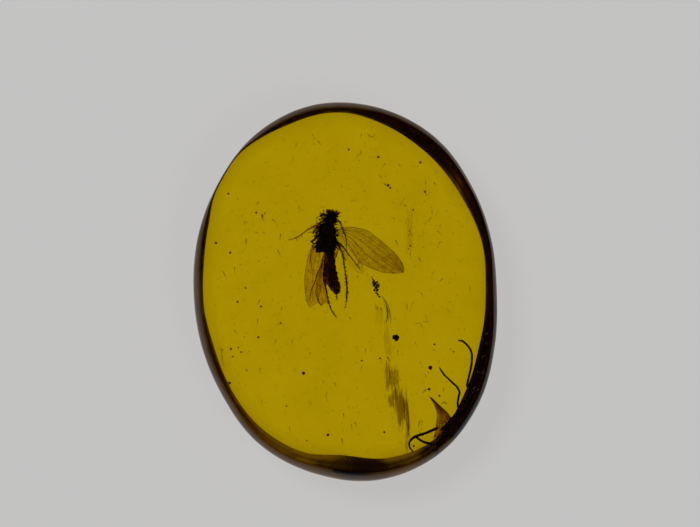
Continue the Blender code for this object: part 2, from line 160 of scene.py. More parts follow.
# Limbs: x, y and radius at each point, then the height over the slab's middle at root and tip.
LIMBS = {
    "antenna_left": (
        ((-1.1, 4.78, 0.06), (-1.4, 4.72, 0.062), (-1.88, 4.45, 0.058), (-2.3, 4.26, 0.044),
         (-2.64, 4.02, 0.036), (-3.02, 3.74, 0.032), (-3.4, 3.54, 0.026), (-3.8, 3.44, 0.014)),
        0.1, 0.26),
    "antenna_right": (
        ((-0.86, 4.84, 0.06), (-0.54, 4.76, 0.06), (-0.3, 4.58, 0.052), (-0.2, 4.2, 0.042),
         (-0.04, 3.86, 0.04), (0.06, 3.5, 0.034), (0.08, 3.05, 0.024), (0.07, 2.65, 0.013)), 0.12,
        0.3),
    "foreleg_left": (
        ((-1.4, 4.34, 0.08), (-1.84, 4.34, 0.062), (-2.02, 4.12, 0.05), (-2.14, 3.98, 0.04),
         (-2.06, 3.84, 0.02)), -0.12, -0.24),
    "midleg_left": (
        ((-1.4, 3.86, 0.11), (-1.86, 3.7, 0.085), (-2.04, 3.5, 0.075), (-2.16, 3.38, 0.06),
         (-2.34, 3.35, 0.028)), -0.1, -0.16),
    "midleg_right": (
        ((-1.1, 3.85, 0.09), (-0.62, 3.4, 0.07), (-0.16, 2.98, 0.052), (0.2, 2.52, 0.036),
         (0.63, 1.96, 0.024), (0.98, 1.58, 0.012)), -0.2, -0.36),
    "hindleg_left": (
        ((-1.15, 1.9, 0.09), (-1.4, 1.36, 0.09), (-1.4, 0.92, 0.085), (-1.36, 0.58, 0.075),
         (-1.28, 0.2, 0.06), (-1.2, -0.18, 0.05), (-1.1, -0.72, 0.042), (-0.88, -1.28, 0.034),
         (-0.56, -1.78, 0.014)), -0.14, -0.34),
    "hindleg_right": (
        ((-1.05, 3.52, 0.09), (-0.62, 3.3, 0.075), (-0.36, 2.9, 0.058), (-0.16, 2.5, 0.048),
         (-0.07, 1.83, 0.042), (0.02, 1.2, 0.046), (0.08, 0.7, 0.056), (0.12, 0.02, 0.048),
         (0.07, -0.55, 0.032), (0.03, -1.05, 0.014)), -0.24, -0.32),
    "spur_midleg": (((-2.12, 3.42, 0.034), (-2.2, 3.3, 0.03), (-2.16, 3.2, 0.01)), -0.14, -0.2),
    "spur_foreleg": (
        ((-1.9, 4.26, 0.04), (-1.86, 4.06, 0.036), (-1.94, 3.92, 0.012)), -0.16, -0.1),
    "spur_hindleg": (((-0.14, 2.34, 0.03), (0.0, 2.16, 0.026), (0.04, 2.02, 0.008)), -0.28, -0.2),
}
PALPS = {
    "palp_left": (
        ((-1.12, 5.06, 0.04), (-1.32, 5.12, 0.075), (-1.48, 5.14, 0.095), (-1.62, 5.06, 0.075),
         (-1.67, 4.98, 0.03)), 0.02, 0.1),
    "palp_left_lower": (
        ((-1.16, 4.72, 0.05), (-1.3, 4.76, 0.08), (-1.44, 4.82, 0.095), (-1.56, 4.84, 0.04)),
        -0.04, 0.04),
    "palp_right": (
        ((-0.86, 5.0, 0.06), (-0.74, 5.08, 0.06), (-0.64, 5.0, 0.06), (-0.6, 4.88, 0.03)), 0.04,
        0.1),
    "stylus": (((-0.57, 0.02, 0.06), (-0.56, -0.26, 0.042), (-0.55, -0.56, 0.022)), 0.0, 0.0),
}
# The pressed bases of the left legs, cut off square at their lower end.
COXAE = (
    ((-1.62, 3.4, 0.26), (-1.66, 3.0, 0.29), (-1.68, 2.72, 0.29), (-1.68, 2.66, 0.28)), -0.08,
    -0.1)

# Wings: leading edge, trailing edge, height of the root and rise of the tip.
WINGS = {
    "forewing_right": (
        ((-0.62, 4.06), (-0.1, 4.3), (0.65, 4.26), (1.4, 4.08), (2.07, 3.62), (2.8, 3.02),
         (3.45, 2.4), (3.78, 1.9), (3.88, 1.56), (3.89, 1.32)), ((-0.62, 3.86), (-0.08, 3.42),
         (0.3, 2.95), (0.62, 2.42), (1.05, 1.92), (1.65, 1.6), (2.48, 1.32), (3.18, 1.23),
         (3.84, 1.27)), 0.2, 0.22),
    "hindwing_right": (
        ((-0.72, 3.8), (-0.15, 3.4), (0.38, 2.93), (0.85, 2.34), (1.16, 1.76), (1.3, 1.36)),
        ((-0.72, 3.5), (-0.46, 2.86), (-0.2, 2.28), (0.32, 1.64), (0.8, 1.28), (1.14, 1.2)), 0.02,
        -0.12),
    "forewing_left": (
        ((-1.5, 3.66), (-1.98, 3.3), (-2.3, 2.83), (-2.49, 2.21), (-2.63, 1.45), (-2.7, 0.78),
         (-2.65, -0.12), (-2.5, -0.78), (-2.3, -1.03)), ((-1.34, 3.62), (-1.3, 3.0), (-1.34, 2.2),
         (-1.46, 1.4), (-1.6, 0.4), (-1.74, -0.3), (-1.8, -0.74)), 0.14, 0.22),
    "wing_base_right": (
        ((-0.52, 3.24), (-0.46, 2.86), (-0.62, 2.36), (-0.74, 2.1)), ((-0.8, 3.2), (-0.84, 2.8),
         (-0.82, 2.36), (-0.78, 2.1)), -0.06, -0.04),
    "hindwing_left": (
        ((-1.28, 3.0), (-1.5, 2.3), (-1.74, 1.5), (-1.92, 0.6), (-1.9, -0.12), (-1.74, -0.68),
         (-1.56, -0.93)), ((-1.1, 2.9), (-1.12, 2.1), (-1.22, 1.3), (-1.3, 0.4), (-1.24, -0.3),
         (-1.2, -0.66)), -0.02, -0.18),
}
# Veins as runs of (share along the wing, share across it from the leading edge).
VEINS = (
((0.0, 0.0), (0.35, 0.0), (0.7, 0.0), (0.98, 0.03)),
((0.0, 0.12), (0.3, 0.09), (0.62, 0.07), (0.84, 0.01)),
((0.02, 0.22), (0.35, 0.17), (0.7, 0.14), (0.93, 0.05)),
((0.1, 0.28), (0.35, 0.27), (0.52, 0.27), (0.75, 0.22), (0.98, 0.16)),
((0.52, 0.27), (0.7, 0.3), (0.86, 0.3), (0.99, 0.28)),
((0.72, 0.3), (0.86, 0.35), (0.99, 0.38)),
((0.04, 0.38), (0.3, 0.42), (0.5, 0.43), (0.75, 0.46), (0.98, 0.5)),
((0.5, 0.43), (0.66, 0.52), (0.84, 0.58), (0.98, 0.62)),
((0.66, 0.52), (0.8, 0.64), (0.95, 0.76)),
((0.03, 0.55), (0.3, 0.62), (0.55, 0.68), (0.76, 0.78), (0.9, 0.97)),
((0.55, 0.68), (0.68, 0.8), (0.8, 0.98)),
((0.02, 0.7), (0.25, 0.78), (0.48, 0.86), (0.66, 0.99)),
((0.01, 0.84), (0.18, 0.9), (0.4, 0.99)),
((0.0, 0.99), (0.4, 1.0), (0.75, 1.0), (0.98, 0.97)),
)
MAIN_VEINS = (0, 2, 6, 9)
# The dark fold that runs down the closed left wings, and the finer folds beside it.
WING_FOLDS = (
    ((-1.44, 2.34, 0.26, 0.03), (-1.62, 1.66, 0.28, 0.036), (-1.88, 1.16, 0.3, 0.034),
     (-2.04, 0.58, 0.31, 0.036), (-2.22, 0.2, 0.32, 0.032), (-2.32, -0.22, 0.34, 0.026),
     (-2.4, -0.62, 0.35, 0.018)),
    ((-2.1, 3.05, 0.22, 0.022), (-2.28, 2.6, 0.24, 0.026), (-2.3, 2.16, 0.26, 0.026),
     (-2.22, 1.54, 0.27, 0.022), (-2.14, 1.4, 0.28, 0.012)),
    ((-2.0, 0.12, -0.04, 0.016), (-1.92, -0.3, -0.06, 0.024), (-1.8, -0.66, -0.1, 0.026),
     (-1.58, -0.92, -0.14, 0.02)),
((-1.5, 1.9, 0.0, 0.02), (-1.66, 1.1, -0.02, 0.024), (-1.72, 0.4, -0.04, 0.014)),
)

# The long-legged fly at the rim.
FLY_BODY = (
    (8.22, -7.02, 0.05, 0.05), (8.1, -7.3, 0.18, 0.16), (7.82, -7.72, 0.25, 0.22),
    (7.52, -8.1, 0.2, 0.18), (7.1, -8.56, 0.18, 0.16), (6.66, -8.98, 0.15, 0.13),
    (6.34, -9.2, 0.05, 0.05),
)
FLY_LEGS = (
    (((7.95, -7.3, 0.09), (8.46, -6.75, 0.086), (8.46, -6.58, 0.08), (8.14, -6.3, 0.076),
      (8.13, -6.06, 0.07), (8.28, -5.4, 0.068), (8.4, -4.75, 0.068), (8.4, -4.05, 0.066),
      (8.12, -3.56, 0.062), (7.76, -3.26, 0.058), (7.5, -3.24, 0.04)), 0.1, 0.2),
    (((7.6, -7.95, 0.09), (7.48, -7.44, 0.068), (7.56, -6.9, 0.066), (7.6, -6.66, 0.068),
      (7.44, -6.34, 0.066), (7.2, -6.1, 0.058), (6.66, -5.6, 0.054), (6.44, -5.32, 0.056),
      (6.26, -5.02, 0.034)), -0.08, -0.14),
    (((6.16, -9.06, 0.06), (6.06, -9.09, 0.09), (5.32, -9.4, 0.08), (4.66, -9.62, 0.09),
      (4.36, -9.86, 0.07), (4.26, -10.06, 0.06), (4.3, -10.36, 0.056), (4.52, -10.64, 0.036)),
     0.06, 0.12),
    (((6.8, -9.1, 0.08), (6.3, -10.02, 0.08), (5.9, -10.12, 0.082), (5.2, -9.98, 0.078),
      (4.72, -9.66, 0.066)), -0.06, 0.04),
)
FLY_WING = (
    ((7.2, -8.86), (7.06, -8.4), (6.65, -7.9), (6.1, -7.38), (5.66, -6.98)), ((5.86, -9.78),
     (6.02, -8.88), (6.08, -8.1), (5.9, -7.52), (5.62, -7.04)), -0.02, 0.08)
FLY_WING_FOLDS = (0.02, 0.1, 0.22, 0.36, 0.52, 0.7, 0.9)

# Droppings and their beads: x, y, radius.
DROPPINGS = (
    (1.78, 1.0, 0.04), (1.82, 0.86, 0.05), (1.88, 0.72, 0.08), (1.84, 0.6, 0.06),
    (1.98, 0.58, 0.09), (2.12, 0.64, 0.06), (1.94, 0.43, 0.08), (2.1, 0.42, 0.08),
    (2.24, 0.48, 0.06), (2.22, 0.34, 0.07), (2.05, 0.26, 0.09), (1.97, 0.12, 0.07),
    (2.12, 0.1, 0.08), (2.09, -0.08, 0.07), (2.18, -0.2, 0.06), (2.27, -0.33, 0.06),
)
# The crumb of bark is a few lumps: x, y, radius.
CRUMB = (
    (3.31, -3.05, 0.16), (3.4, -3.13, 0.13), (3.38, -2.95, 0.12), (3.5, -3.03, 0.09),
    (3.24, -2.96, 0.08),
)

# Films of torn tissue: left edge, right edge, height, rise, and how much light they hold back.
VEILS = (
    (((2.5, -2.2), (2.52, -3.5), (2.62, -4.6)), ((2.92, -2.2), (3.1, -3.5), (3.24, -4.7)), -0.06,
     0.04, 0.2),
    (((2.58, -4.5), (2.58, -5.6), (2.7, -6.7)), ((2.98, -4.5), (3.1, -5.5), (2.94, -6.6)), -0.02,
     0.06, 0.62),
    (((2.74, -4.9), (2.86, -5.8), (2.98, -6.6)), ((3.44, -4.8), (3.62, -5.6), (3.56, -6.5)), 0.02,
     0.05, 0.6),
    (((2.96, -6.2), (3.2, -7.7), (3.56, -9.3)), ((3.76, -6.1), (4.08, -7.6), (4.0, -9.1)), 0.04,
     -0.06, 0.8),
    (((3.64, -6.9), (3.9, -8.4), (4.12, -9.9)), ((4.12, -6.6), (4.32, -8.1), (4.38, -9.8)), 0.07,
     0.03, 0.8),
    (((2.76, -6.8), (2.84, -7.25), (2.94, -7.8)), ((3.18, -6.7), (3.28, -7.2), (3.2, -7.7)), 0.0,
     0.02, 0.6),
    (((3.92, -9.0), (3.94, -10.0), (3.98, -10.9)), ((4.26, -9.0), (4.28, -10.0), (4.24, -10.9)),
     0.02, 0.0, 0.4),
    (((1.9, -0.6), (1.84, -1.4), (1.8, -2.3)), ((2.44, -0.8), (2.6, -1.6), (2.6, -2.6)), 0.05,
     0.02, 0.1),
    (((4.02, 5.8), (3.98, 4.0), (4.02, 2.1)), ((4.58, 5.8), (4.56, 4.0), (4.48, 2.1)), 0.1, 0.02,
     0.16),
)
# Threads: x, y, half width at each point.
THREADS = (
    ((2.46, -0.24, 0.02), (2.66, -0.66, 0.05), (2.76, -1.0, 0.07), (2.82, -1.38, 0.08),
     (2.8, -1.7, 0.07), (2.7, -2.16, 0.02)),
    ((2.62, -0.5, 0.02), (2.84, -0.86, 0.04), (2.97, -1.36, 0.04), (3.04, -1.8, 0.03),
     (2.98, -2.14, 0.01)),
((2.74, -0.9, 0.01), (2.9, -1.32, 0.03), (2.92, -1.72, 0.03), (2.84, -2.02, 0.01)),
((2.5, -0.4, 0.01), (2.6, -0.85, 0.02), (2.72, -1.3, 0.02), (2.74, -1.62, 0.01)),
((4.05, -6.32, 0.02), (4.12, -7.55, 0.03), (4.24, -9.32, 0.03), (4.26, -9.46, 0.01)),
((3.26, -6.2, 0.02), (3.34, -6.5, 0.06), (3.38, -6.88, 0.05), (3.3, -7.2, 0.02)),
    ((1.98, -1.06, 0.03), (2.05, -0.99, 0.05), (2.16, -1.06, 0.05), (2.13, -1.18, 0.04),
     (2.03, -1.18, 0.03)),
((2.26, -1.12, 0.03), (2.36, -1.08, 0.05), (2.42, -1.2, 0.05), (2.33, -1.27, 0.03)),
)

# Dark specks: x, y, radius.
SPECKS = (
    (-2.77, -5.4, 0.12), (-1.15, -9.51, 0.11), (-7.7, -6.06, 0.1), (-5.59, -0.97, 0.084),
    (5.67, -5.05, 0.15), (5.57, -6.47, 0.1), (6.26, -6.92, 0.084), (0.24, 9.47, 0.074),
    (2.2, 8.96, 0.09), (5.0, 8.6, 0.084), (-8.6, 3.25, 0.09), (-7.66, 2.6, 0.084),
    (-7.78, 6.53, 0.074), (-5.92, 5.27, 0.074), (-5.52, 5.05, 0.074), (-6.64, 0.25, 0.074),
    (-7.16, -0.66, 0.074), (-4.3, -2.08, 0.074), (-5.78, -3.03, 0.084), (1.11, -4.58, 0.074),
    (2.32, -4.42, 0.08), (4.27, 4.05, 0.055), (4.53, 5.44, 0.06), (4.23, 3.78, 0.045),
    (4.32, 3.07, 0.06), (4.2, 2.85, 0.045), (4.32, 2.5, 0.05), (5.93, -3.5, 0.074),
    (7.2, -3.97, 0.062), (4.56, -10.24, 0.084), (2.6, -9.33, 0.074), (-3.9, -7.6, 0.062),
    (-2.56, -9.9, 0.062), (-7.6, -3.8, 0.084), (-7.1, -3.7, 0.062), (-6.94, -4.02, 0.062),
    (-6.56, -5.22, 0.062), (-7.48, -4.3, 0.062), (2.86, 7.1, 0.084), (3.0, 6.92, 0.074),
    (5.3, 6.66, 0.074),
)
# Fine fibres: the height over the middle, the radius, then x and y at each point.
FIBRES = (
(0.9, 0.022, ((1.44, 10.56), (1.64, 10.32), (1.86, 10.3), (1.99, 10.55))),
(0.4, 0.024, ((-8.35, -3.82), (-8.2, -3.84), (-8.08, -3.82))),
(0.4, 0.02, ((-8.22, -3.86), (-8.18, -4.36), (-8.12, -4.9))),
(-0.3, 0.026, ((5.32, 7.46), (5.34, 7.22), (5.38, 7.06))),
(-0.2, 0.024, ((5.28, 6.8), (5.36, 6.56), (5.42, 6.34))),
(0.2, 0.026, ((2.22, 7.8), (2.36, 7.62), (2.44, 7.52))),
(0.2, 0.03, ((2.52, 7.28), (2.72, 7.08), (2.92, 6.96))),
(0.1, 0.016, ((5.24, -1.44), (5.38, -1.62), (5.34, -2.06))),
(0.1, 0.016, ((5.1, -1.98), (5.4, -2.0), (5.64, -1.92))),
(-0.4, 0.018, ((6.78, -1.08), (6.9, -1.34), (7.08, -1.36))),
(0.3, 0.018, ((4.64, -2.14), (4.88, -2.08), (5.1, -2.1))),
(0.0, 0.026, ((5.18, -6.76), (5.28, -6.56), (5.54, -6.46))),
(-0.1, 0.03, ((6.42, -7.48), (6.58, -7.34), (6.78, -7.5))),
(-0.1, 0.03, ((4.86, -8.98), (4.94, -8.66), (5.04, -8.56))),
(-0.1, 0.024, ((5.06, -8.84), (5.12, -8.62), (5.1, -8.5))),
(0.5, 0.014, ((-3.5, 9.1), (-3.46, 8.76), (-3.52, 8.5))),
(0.6, 0.014, ((-5.3, 8.6), (-5.16, 8.56), (-5.04, 8.6))),
)
# Small polishing pits over the dark rim: x, y, radius.
PITS = (
    (9.37, -2.83, 0.09), (9.37, -3.44, 0.1), (9.2, -4.33, 0.11), (8.82, -5.27, 0.07),
    (9.15, -5.33, 0.1), (8.7, -6.38, 0.17), (6.98, 8.52, 0.05),
)

# How much brown light a part of the body lets through; limbs let through the most.
THINNESS = {"thorax": 0.10, "coxae": 0.12, "eye": 0.0}
LIMB_THINNESS = 1.05
FLY_THINNESS = 0.3
# How far a sheet waves up and down.
WING_WAVE = 0.05
FLY_WING_WAVE = 0.06
VEIL_WAVE = 0.03
VEIL_THICKNESS = 0.008
# Wing finishes: the colour's setting, and how many times the set cover hides root and tip.
WING_FINISHES = {
    "forewing membrane": ("membrane", 0.40, 1.55),
    "hindwing membrane": ("membrane", 0.25, 0.35),
    "closed wing membrane": ("aged_membrane", 1.20, 1.05),
    "folded wing membrane": ("aged_membrane", 1.15, 1.40),
}
WING_FINISH = {
    "forewing_right": "forewing membrane",
    "hindwing_right": "hindwing membrane",
    "forewing_left": "closed wing membrane",
    "wing_base_right": "folded wing membrane",
    "hindwing_left": "folded wing membrane",
}
# How many times the set radius a vein is: the open wing's main veins, and all others.
STOUT_VEIN = 1.9
PLAIN_VEIN = 1.1
# An antenna's waists between its joints, as a share of its radius.
WAIST = 0.72
WING_SEED = 41
HAIR_SEED = 7
WING_HAIR_RADIUS = 0.006
FINE_HAIR_RADIUS = 0.007
DUST_RADII = (0.014, 0.046)
# Hairs on the body: what the set count is divided by, share of the set length, radius, lean to
# the tail, and the box of x from, x to, y from, y to that they keep inside, or outside of.
FAR = 99.0
BRISTLES = (
    (2, 1.0, 0.011, 0.7, (-1.95, -1.2, 3.0, FAR), True),
    (3, 0.7, 0.010, 0.8, (-1.2, -0.55, 3.0, FAR), True),
    (2, 0.30, 0.008, 1.2, (-1.55, -0.3, -0.3, 3.0), True),
    (1, 0.30, 0.007, 0.6, (-1.95, -0.45, -0.3, FAR), False),
)
FINE_HAIRS = (
    (2, 1.25, 0.007, -1.1, (-1.15, -0.50, 4.95, FAR), True),
    (4, 0.7, 0.008, -0.5, (-0.90, -0.55, 4.5, 5.05), True),
    (12, 0.35, 0.007, -0.1, (-1.80, -1.28, 4.66, FAR), True),
    (2, 0.9, 0.009, 0.3, (-FAR, -0.55, 3.0, 4.7), True),
)
# The depth of the pits under the top face.
PIT_DEPTH = 0.06
# Where dust and fine hairs lie: half width and half length of an oval, and margin to the faces.
DUST_REACH = (9.0, 11.3, 0.4)
FINE_HAIR_REACH = (8.6, 10.8, 0.6)


def linear(code):
    """The linear colour of an sRGB hex value."""
    channels = [int(code[index:index + 2], 16) / 255 for index in (0, 2, 4)]
    return tuple(
        c / 12.92 if c <= 0.04045 else ((c + 0.055) / 1.055) ** 2.4 for c in channels
    )


# ---------------------------------------------------------------------------------- settings


def length(name, description, default):
    """A length; its default is in millimetres."""
    return bpy.props.FloatProperty(
        name=name, description=description, default=default * MM, unit="LENGTH",
        subtype="DISTANCE")


def colour(name, description, default):
    """A linear colour."""
    return bpy.props.FloatVectorProperty(
        name=name, description=description, default=default, subtype="COLOR", size=3, min=0.0,
        max=1.0)


def share(name, description, default, least=0.0):
    """A share of a whole."""
    return bpy.props.FloatProperty(
        name=name, description=description, default=default, min=least, max=1.0,
        subtype="FACTOR")


def amount(name, description, default, **limits):
    """A number of things, none or more where no other limit is given."""
    return bpy.props.IntProperty(
        name=name, description=description, default=default, **{"min": 0, **limits})


def factor(name, description, default, **limits):
    """A plain number or a power, none or more where no other limit is given."""
    return bpy.props.FloatProperty(
        name=name, description=description, default=default, **{"min": 0.0, **limits})


class SlabSettings(bpy.types.PropertyGroup):
    """Sizes and colours of the amber."""
    rim_steps: amount("Rim steps", "Points round the rim", 288, min=48, max=720)
    bevel_rise: factor(
        "Bevel rise", "Height of the bevel for each unit of its width", 1.5, min=0.5, max=3.0)
    bevel_top: length("Bevel top", "Greatest height of the bevel", 1.85)
    shoulder_height: length(
        "Shoulder height", "Least height of the rounded edge round the top face", 0.55)
    roughness: length("Rim unevenness", "How far the rim departs from a smooth surface", 0.012)
    red_through: share(
        "Red through", "Share of red light that passes the slab's thickness", 0.840, 0.01)
    green_through: share(
        "Green through", "Share of green light that passes the thickness", 0.602, 0.01)
    blue_through: share(
        "Blue through", "Share of blue light that passes the thickness", 0.0006, 0.0001)
    # The bevel's colours seen through the slab are painted: a dark painted shade, turning to an
    # orange painted glow.
    bevel_painted_shade: colour(
        "Bevel, dark", "Colour of the bevel where it is finely ground", (0.040, 0.019, 0.008))
    bevel_painted_glow: colour(
        "Bevel, light", "Colour of the bevel where it is coarsely ground", (0.36, 0.19, 0.045))


class InsectSettings(bpy.types.PropertyGroup):
    """Sizes and colours of the caddisfly and the fly."""
    cuticle: colour("Cuticle", "Colour of the dark cuticle", linear("22170A"))
    cuticle_light: colour(
        "Thin cuticle", "Colour of light that passes the thin cuticle", (0.30, 0.095, 0.012))
    membrane: colour(
        "Wing membrane", "Colour of light that passes the wing membrane", linear("946A22"))
    aged_membrane: colour(
        "Closed wing", "Colour of light that passes the closed wings", linear("A8701C"))
    membrane_cover: share("Membrane cover", "Share of the light that a wing holds back", 0.32)
    vein: colour("Vein", "Colour of light that passes a wing vein", linear("5E3C10"))
    fine_hair: colour("Fine hair", "Colour of light that passes a fine hair", linear("8A561A"))
    hair: colour("Hair", "Colour of light that passes a hair", linear("4A2A0A"))
    membrane_thickness: length("Membrane thickness", "Thickness of a wing", 0.012)
    vein_radius: length("Vein radius", "Radius of a fine wing vein", 0.011)
    hair_length: length("Hair length", "Length of the hairs on the thorax", 0.30)
    hair_count: amount("Hairs", "Hairs on the thorax; other parts follow", 420, max=6000)


class SpeckSettings(bpy.types.PropertyGroup):
    """How much dust and how many fibres are scattered through the resin."""
    seed: amount("Seed", "Picks another scatter of dust and fibres", 11)
    dust_count: amount("Dust", "Fine specks scattered through the resin", 950)
    hair_count: amount("Fine hairs", "Fine hairs scattered through the resin", 110)


class StageSettings(bpy.types.PropertyGroup):
    """The floor, the light and the camera."""
    picture_width: length(
        "Picture width", "Width of what the camera sees at the slab's top", 46.40)
    camera_height: length("Camera height", "Height of the camera over the floor", 420)
    aim_x: length("Aim across", "Place of the picture's centre across the slab", 0.317)
    aim_y: length("Aim along", "Place of the picture's centre along the slab", 1.883)
    floor_glow: factor("Floor glow", "Light that the floor gives off", 0.480)
    key_power: factor("Key light", "Power of the main soft light", 0.25, unit="POWER")
    fill_power: factor("Fill light", "Power of the second soft light", 0.12, unit="POWER")


# ------------------------------------------------------------------------------- mesh helpers


def start_piece():
    """Goes to object mode and selects nothing, so that an operator acts on new work alone."""
    if bpy.context.object and bpy.context.object.mode != "OBJECT":
        bpy.ops.object.mode_set(mode="OBJECT")
    bpy.ops.object.select_all(action="DESELECT")


def only(obj):
    """Makes obj the one selected and active object."""
    start_piece()
    obj.select_set(True)
    bpy.context.view_layer.objects.active = obj


def edit_all(obj):
    """Opens obj in edit mode with all of it selected."""
    only(obj)
    bpy.ops.object.mode_set(mode="EDIT")
    bpy.ops.mesh.select_all(action="SELECT")


def make_normals(obj):
    """Turns all faces outwards."""
    edit_all(obj)
    bpy.ops.mesh.normals_make_consistent(inside=False)
    bpy.ops.object.mode_set(mode="OBJECT")


def curve_between(before, start, end, after, t):
    """The value at t, 0 to 1, on the smooth curve from start to end."""
    slope_in = (end - before) / 2
    slope_out = (after - start) / 2
    return (
        start * (2 * t ** 3 - 3 * t ** 2 + 1) + slope_in * (t ** 3 - 2 * t ** 2 + t)
        + end * (3 * t ** 2 - 2 * t ** 3) + slope_out * (t ** 3 - t ** 2)
    )


def round_value(knots, angle):
    """A smooth periodic value at an angle in degrees, from (angle, value) knots."""
    for index, (start_angle, start) in enumerate(knots):
        end_angle, end = knots[(index + 1) % len(knots)]
        span = (end_angle - start_angle) % 360
        offset = (angle - start_angle) % 360
        if offset < span:
            after = knots[(index + 2) % len(knots)][1]
            return curve_between(knots[index - 1][1], start, end, after, offset / span)
    return knots[0][1]


def smooth_path(points, steps):
    """Points on a smooth open curve through the given ones, with steps to each stretch."""
    last = len(points) - 1
    path = []
    for index in range(last):
        before = points[max(index - 1, 0)]
        after = points[min(index + 2, last)]
        for step in range(steps):
            path.append(
                curve_between(before, points[index], points[index + 1], after, step / steps))
    path.append(points[last])
    return path


def placing(side, across, ahead, origin):
    """The matrix that takes X, Y and Z to three vectors and the zero point to origin."""
    matrix = Matrix((side, across, ahead)).transposed().to_4x4()
    matrix.translation = origin
    return matrix


def station(values, along):
    """The matrix that puts a unit ring at x, y, z with its half width and half height."""
    side = along.cross(UP)
    side = side.normalized() if side.length > 1e-4 else Vector((1, 0, 0))
    rise = side.cross(along).normalized()
    return placing(side * values[3], rise * values[4], along, values[:3])


def extrude_rings(obj, rings, place_ring):
    """Extrudes a flat face once for each ring after the first, and places each ring."""
    edit_all(obj)
    for index, ring in enumerate(rings):
        if index:
            bpy.ops.mesh.extrude_region_move(TRANSFORM_OT_translate={"value": (0, 0, 0)})
        mesh = bmesh.from_edit_mesh(obj.data)
        place_ring(mesh, [vert for vert in mesh.verts if vert.select], ring)
        bmesh.update_edit_mesh(obj.data)
    make_normals(obj)


def draw_tube(name, path, sides):
    """A closed tube: a disc is extruded from point to point of path and sized at each one.

    Each point is a vector of x, y, z, half width and half height, in metres."""
    last = len(path) - 1
    moves = []
    back = Matrix.Identity(4)
    for index, values in enumerate(path):
        ahead = Vector(path[min(index + 1, last)][:3])
        behind = Vector(path[max(index - 1, 0)][:3])
        matrix = station(values, (ahead - behind).normalized())
        moves.append(matrix @ back)
        back = matrix.inverted()

    def move_ring(mesh, verts, move):
        for vert in verts:
            vert.co = move @ vert.co

    start_piece()
    bpy.ops.mesh.primitive_circle_add(vertices=sides, radius=1.0, fill_type="NGON")
    obj = bpy.context.object
    obj.name = name
    extrude_rings(obj, moves, move_ring)
    put_in_order(obj.data)
    return obj


def put_in_order(data):
    """Sorts edges and faces by their vertices, so that each run gives the very same mesh."""
    mesh = bmesh.new()
    mesh.from_mesh(data)
    count = len(mesh.verts)

    def place(element):
        key = 0
        for index in sorted(vert.index for vert in element.verts)[:3]:
            key = key * count + index
        return key

    mesh.edges.sort(key=place)
    mesh.faces.sort(key=place)
    mesh.to_mesh(data)
    mesh.free()


def climbing(points, low, high, flat=1.0):
    """Stations through (x, y, radius) points, from low to high over the slab's middle."""
    last = len(points) - 1
    path = []
    for index, (x, y, radius) in enumerate(points):
        height = MIDDLE + low + (high - low) * index / last
        path.append(Vector((x, y, height, radius, radius * flat)) * MM)
    return path


def draw_limb(name, points, low, high, steps, sides, flat=1.0):
    """A limb through (x, y, radius) points that climbs from low at its root to high."""
    return draw_tube(name, smooth_path(climbing(points, low, high, flat), steps), sides)


def strand_path(stations, steps):
    """A smooth path: stations of x, y, height over the middle, half width and half height."""
    path = [Vector((x, y, MIDDLE + z, w, h)) * MM for x, y, z, w, h in stations]
    return smooth_path(path, steps)


def body_path(stations, steps):
    """A smooth path at the middle height, through stations of x, y, half width, half height."""
    return strand_path([(x, y, 0.0, w, h) for x, y, w, h in stations], steps)


def even_edge(points, count):
    """count points at even distances along a smooth curve through points."""
    path = smooth_path([Vector(p) for p in points], 12)
    lengths = [0.0]
    for start, end in zip(path, path[1:]):
        lengths.append(lengths[-1] + (end - start).length)
    result = []
    place = 0
    for index in range(count):
        wanted = lengths[-1] * index / (count - 1)
        while place < len(path) - 2 and lengths[place + 1] < wanted:
            place += 1
        share = (wanted - lengths[place]) / (lengths[place + 1] - lengths[place])
        result.append(path[place].lerp(path[place + 1], share))
    return result


def sheet_place(spec, wave, seed):
    """A function from shares along and across a wing to a point on its gently waved surface."""
    leading, trailing, root_height, lift = spec
    count = 61
    fore = even_edge(leading, count)
    aft = even_edge(trailing, count)

    def place(along, across):
        spot = min(max(along, 0.0), 1.0) * (count - 1)
        index = min(int(spot), count - 2)
        front, back = (edge[index].lerp(edge[index + 1], spot - index) for edge in (fore, aft))
        flat = front.lerp(back, across)
        pleat = math.sin(across * math.pi * 7 + seed) * 0.25
        bend = noise.noise(Vector((flat.x * 1.1, flat.y * 1.1, seed)))
        height = MIDDLE + root_height + lift * along + wave * (bend + pleat)
        return Vector((flat.x, flat.y, height)) * MM

    return place


def draw_sheet(name, place, cuts, thickness):
    """A thin sheet: a plane cut into a grid is laid on the surface and given its thickness."""
    start_piece()
    bpy.ops.mesh.primitive_grid_add(
        x_subdivisions=cuts[0], y_subdivisions=cuts[1], size=1.0, calc_uvs=True)
    obj = bpy.context.object
    obj.name = name
    for vert in obj.data.vertices:
        vert.co = place(vert.co.x + 0.5, vert.co.y + 0.5)
    modifier = obj.modifiers.new("thickness", "SOLIDIFY")
    modifier.thickness = thickness
    modifier.offset = 0.0
    bpy.ops.object.modifier_apply(modifier=modifier.name)
    make_normals(obj)
    bpy.ops.object.shade_smooth()
    return obj


def subdivide(obj):
    """Cuts each face in four and rounds the surface."""
    edit_all(obj)
    bpy.ops.mesh.subdivide(number_cuts=1)
    bpy.ops.mesh.vertices_smooth(factor=0.5)
    bpy.ops.object.mode_set(mode="OBJECT")
    bpy.ops.object.shade_smooth()


def roughen(obj, size, depth, seed):
    """Moves the surface in and out by a noise of this grain size and depth, in millimetres."""
    places = []
    for vert in obj.data.vertices:
        spot = vert.co / (size * MM) + Vector((seed, seed, 0))
        places.append(vert.co + vert.normal * (noise.fractal(spot, *GRAIN) * depth * MM))
    for vert, place in zip(obj.data.vertices, places):
        vert.co = place


def rounded(part, *grains):
    """Smooths a part and roughens it by each grain: size, depth and seed."""
    subdivide(part)
    for grain in grains:
        roughen(part, *grain)
    return part


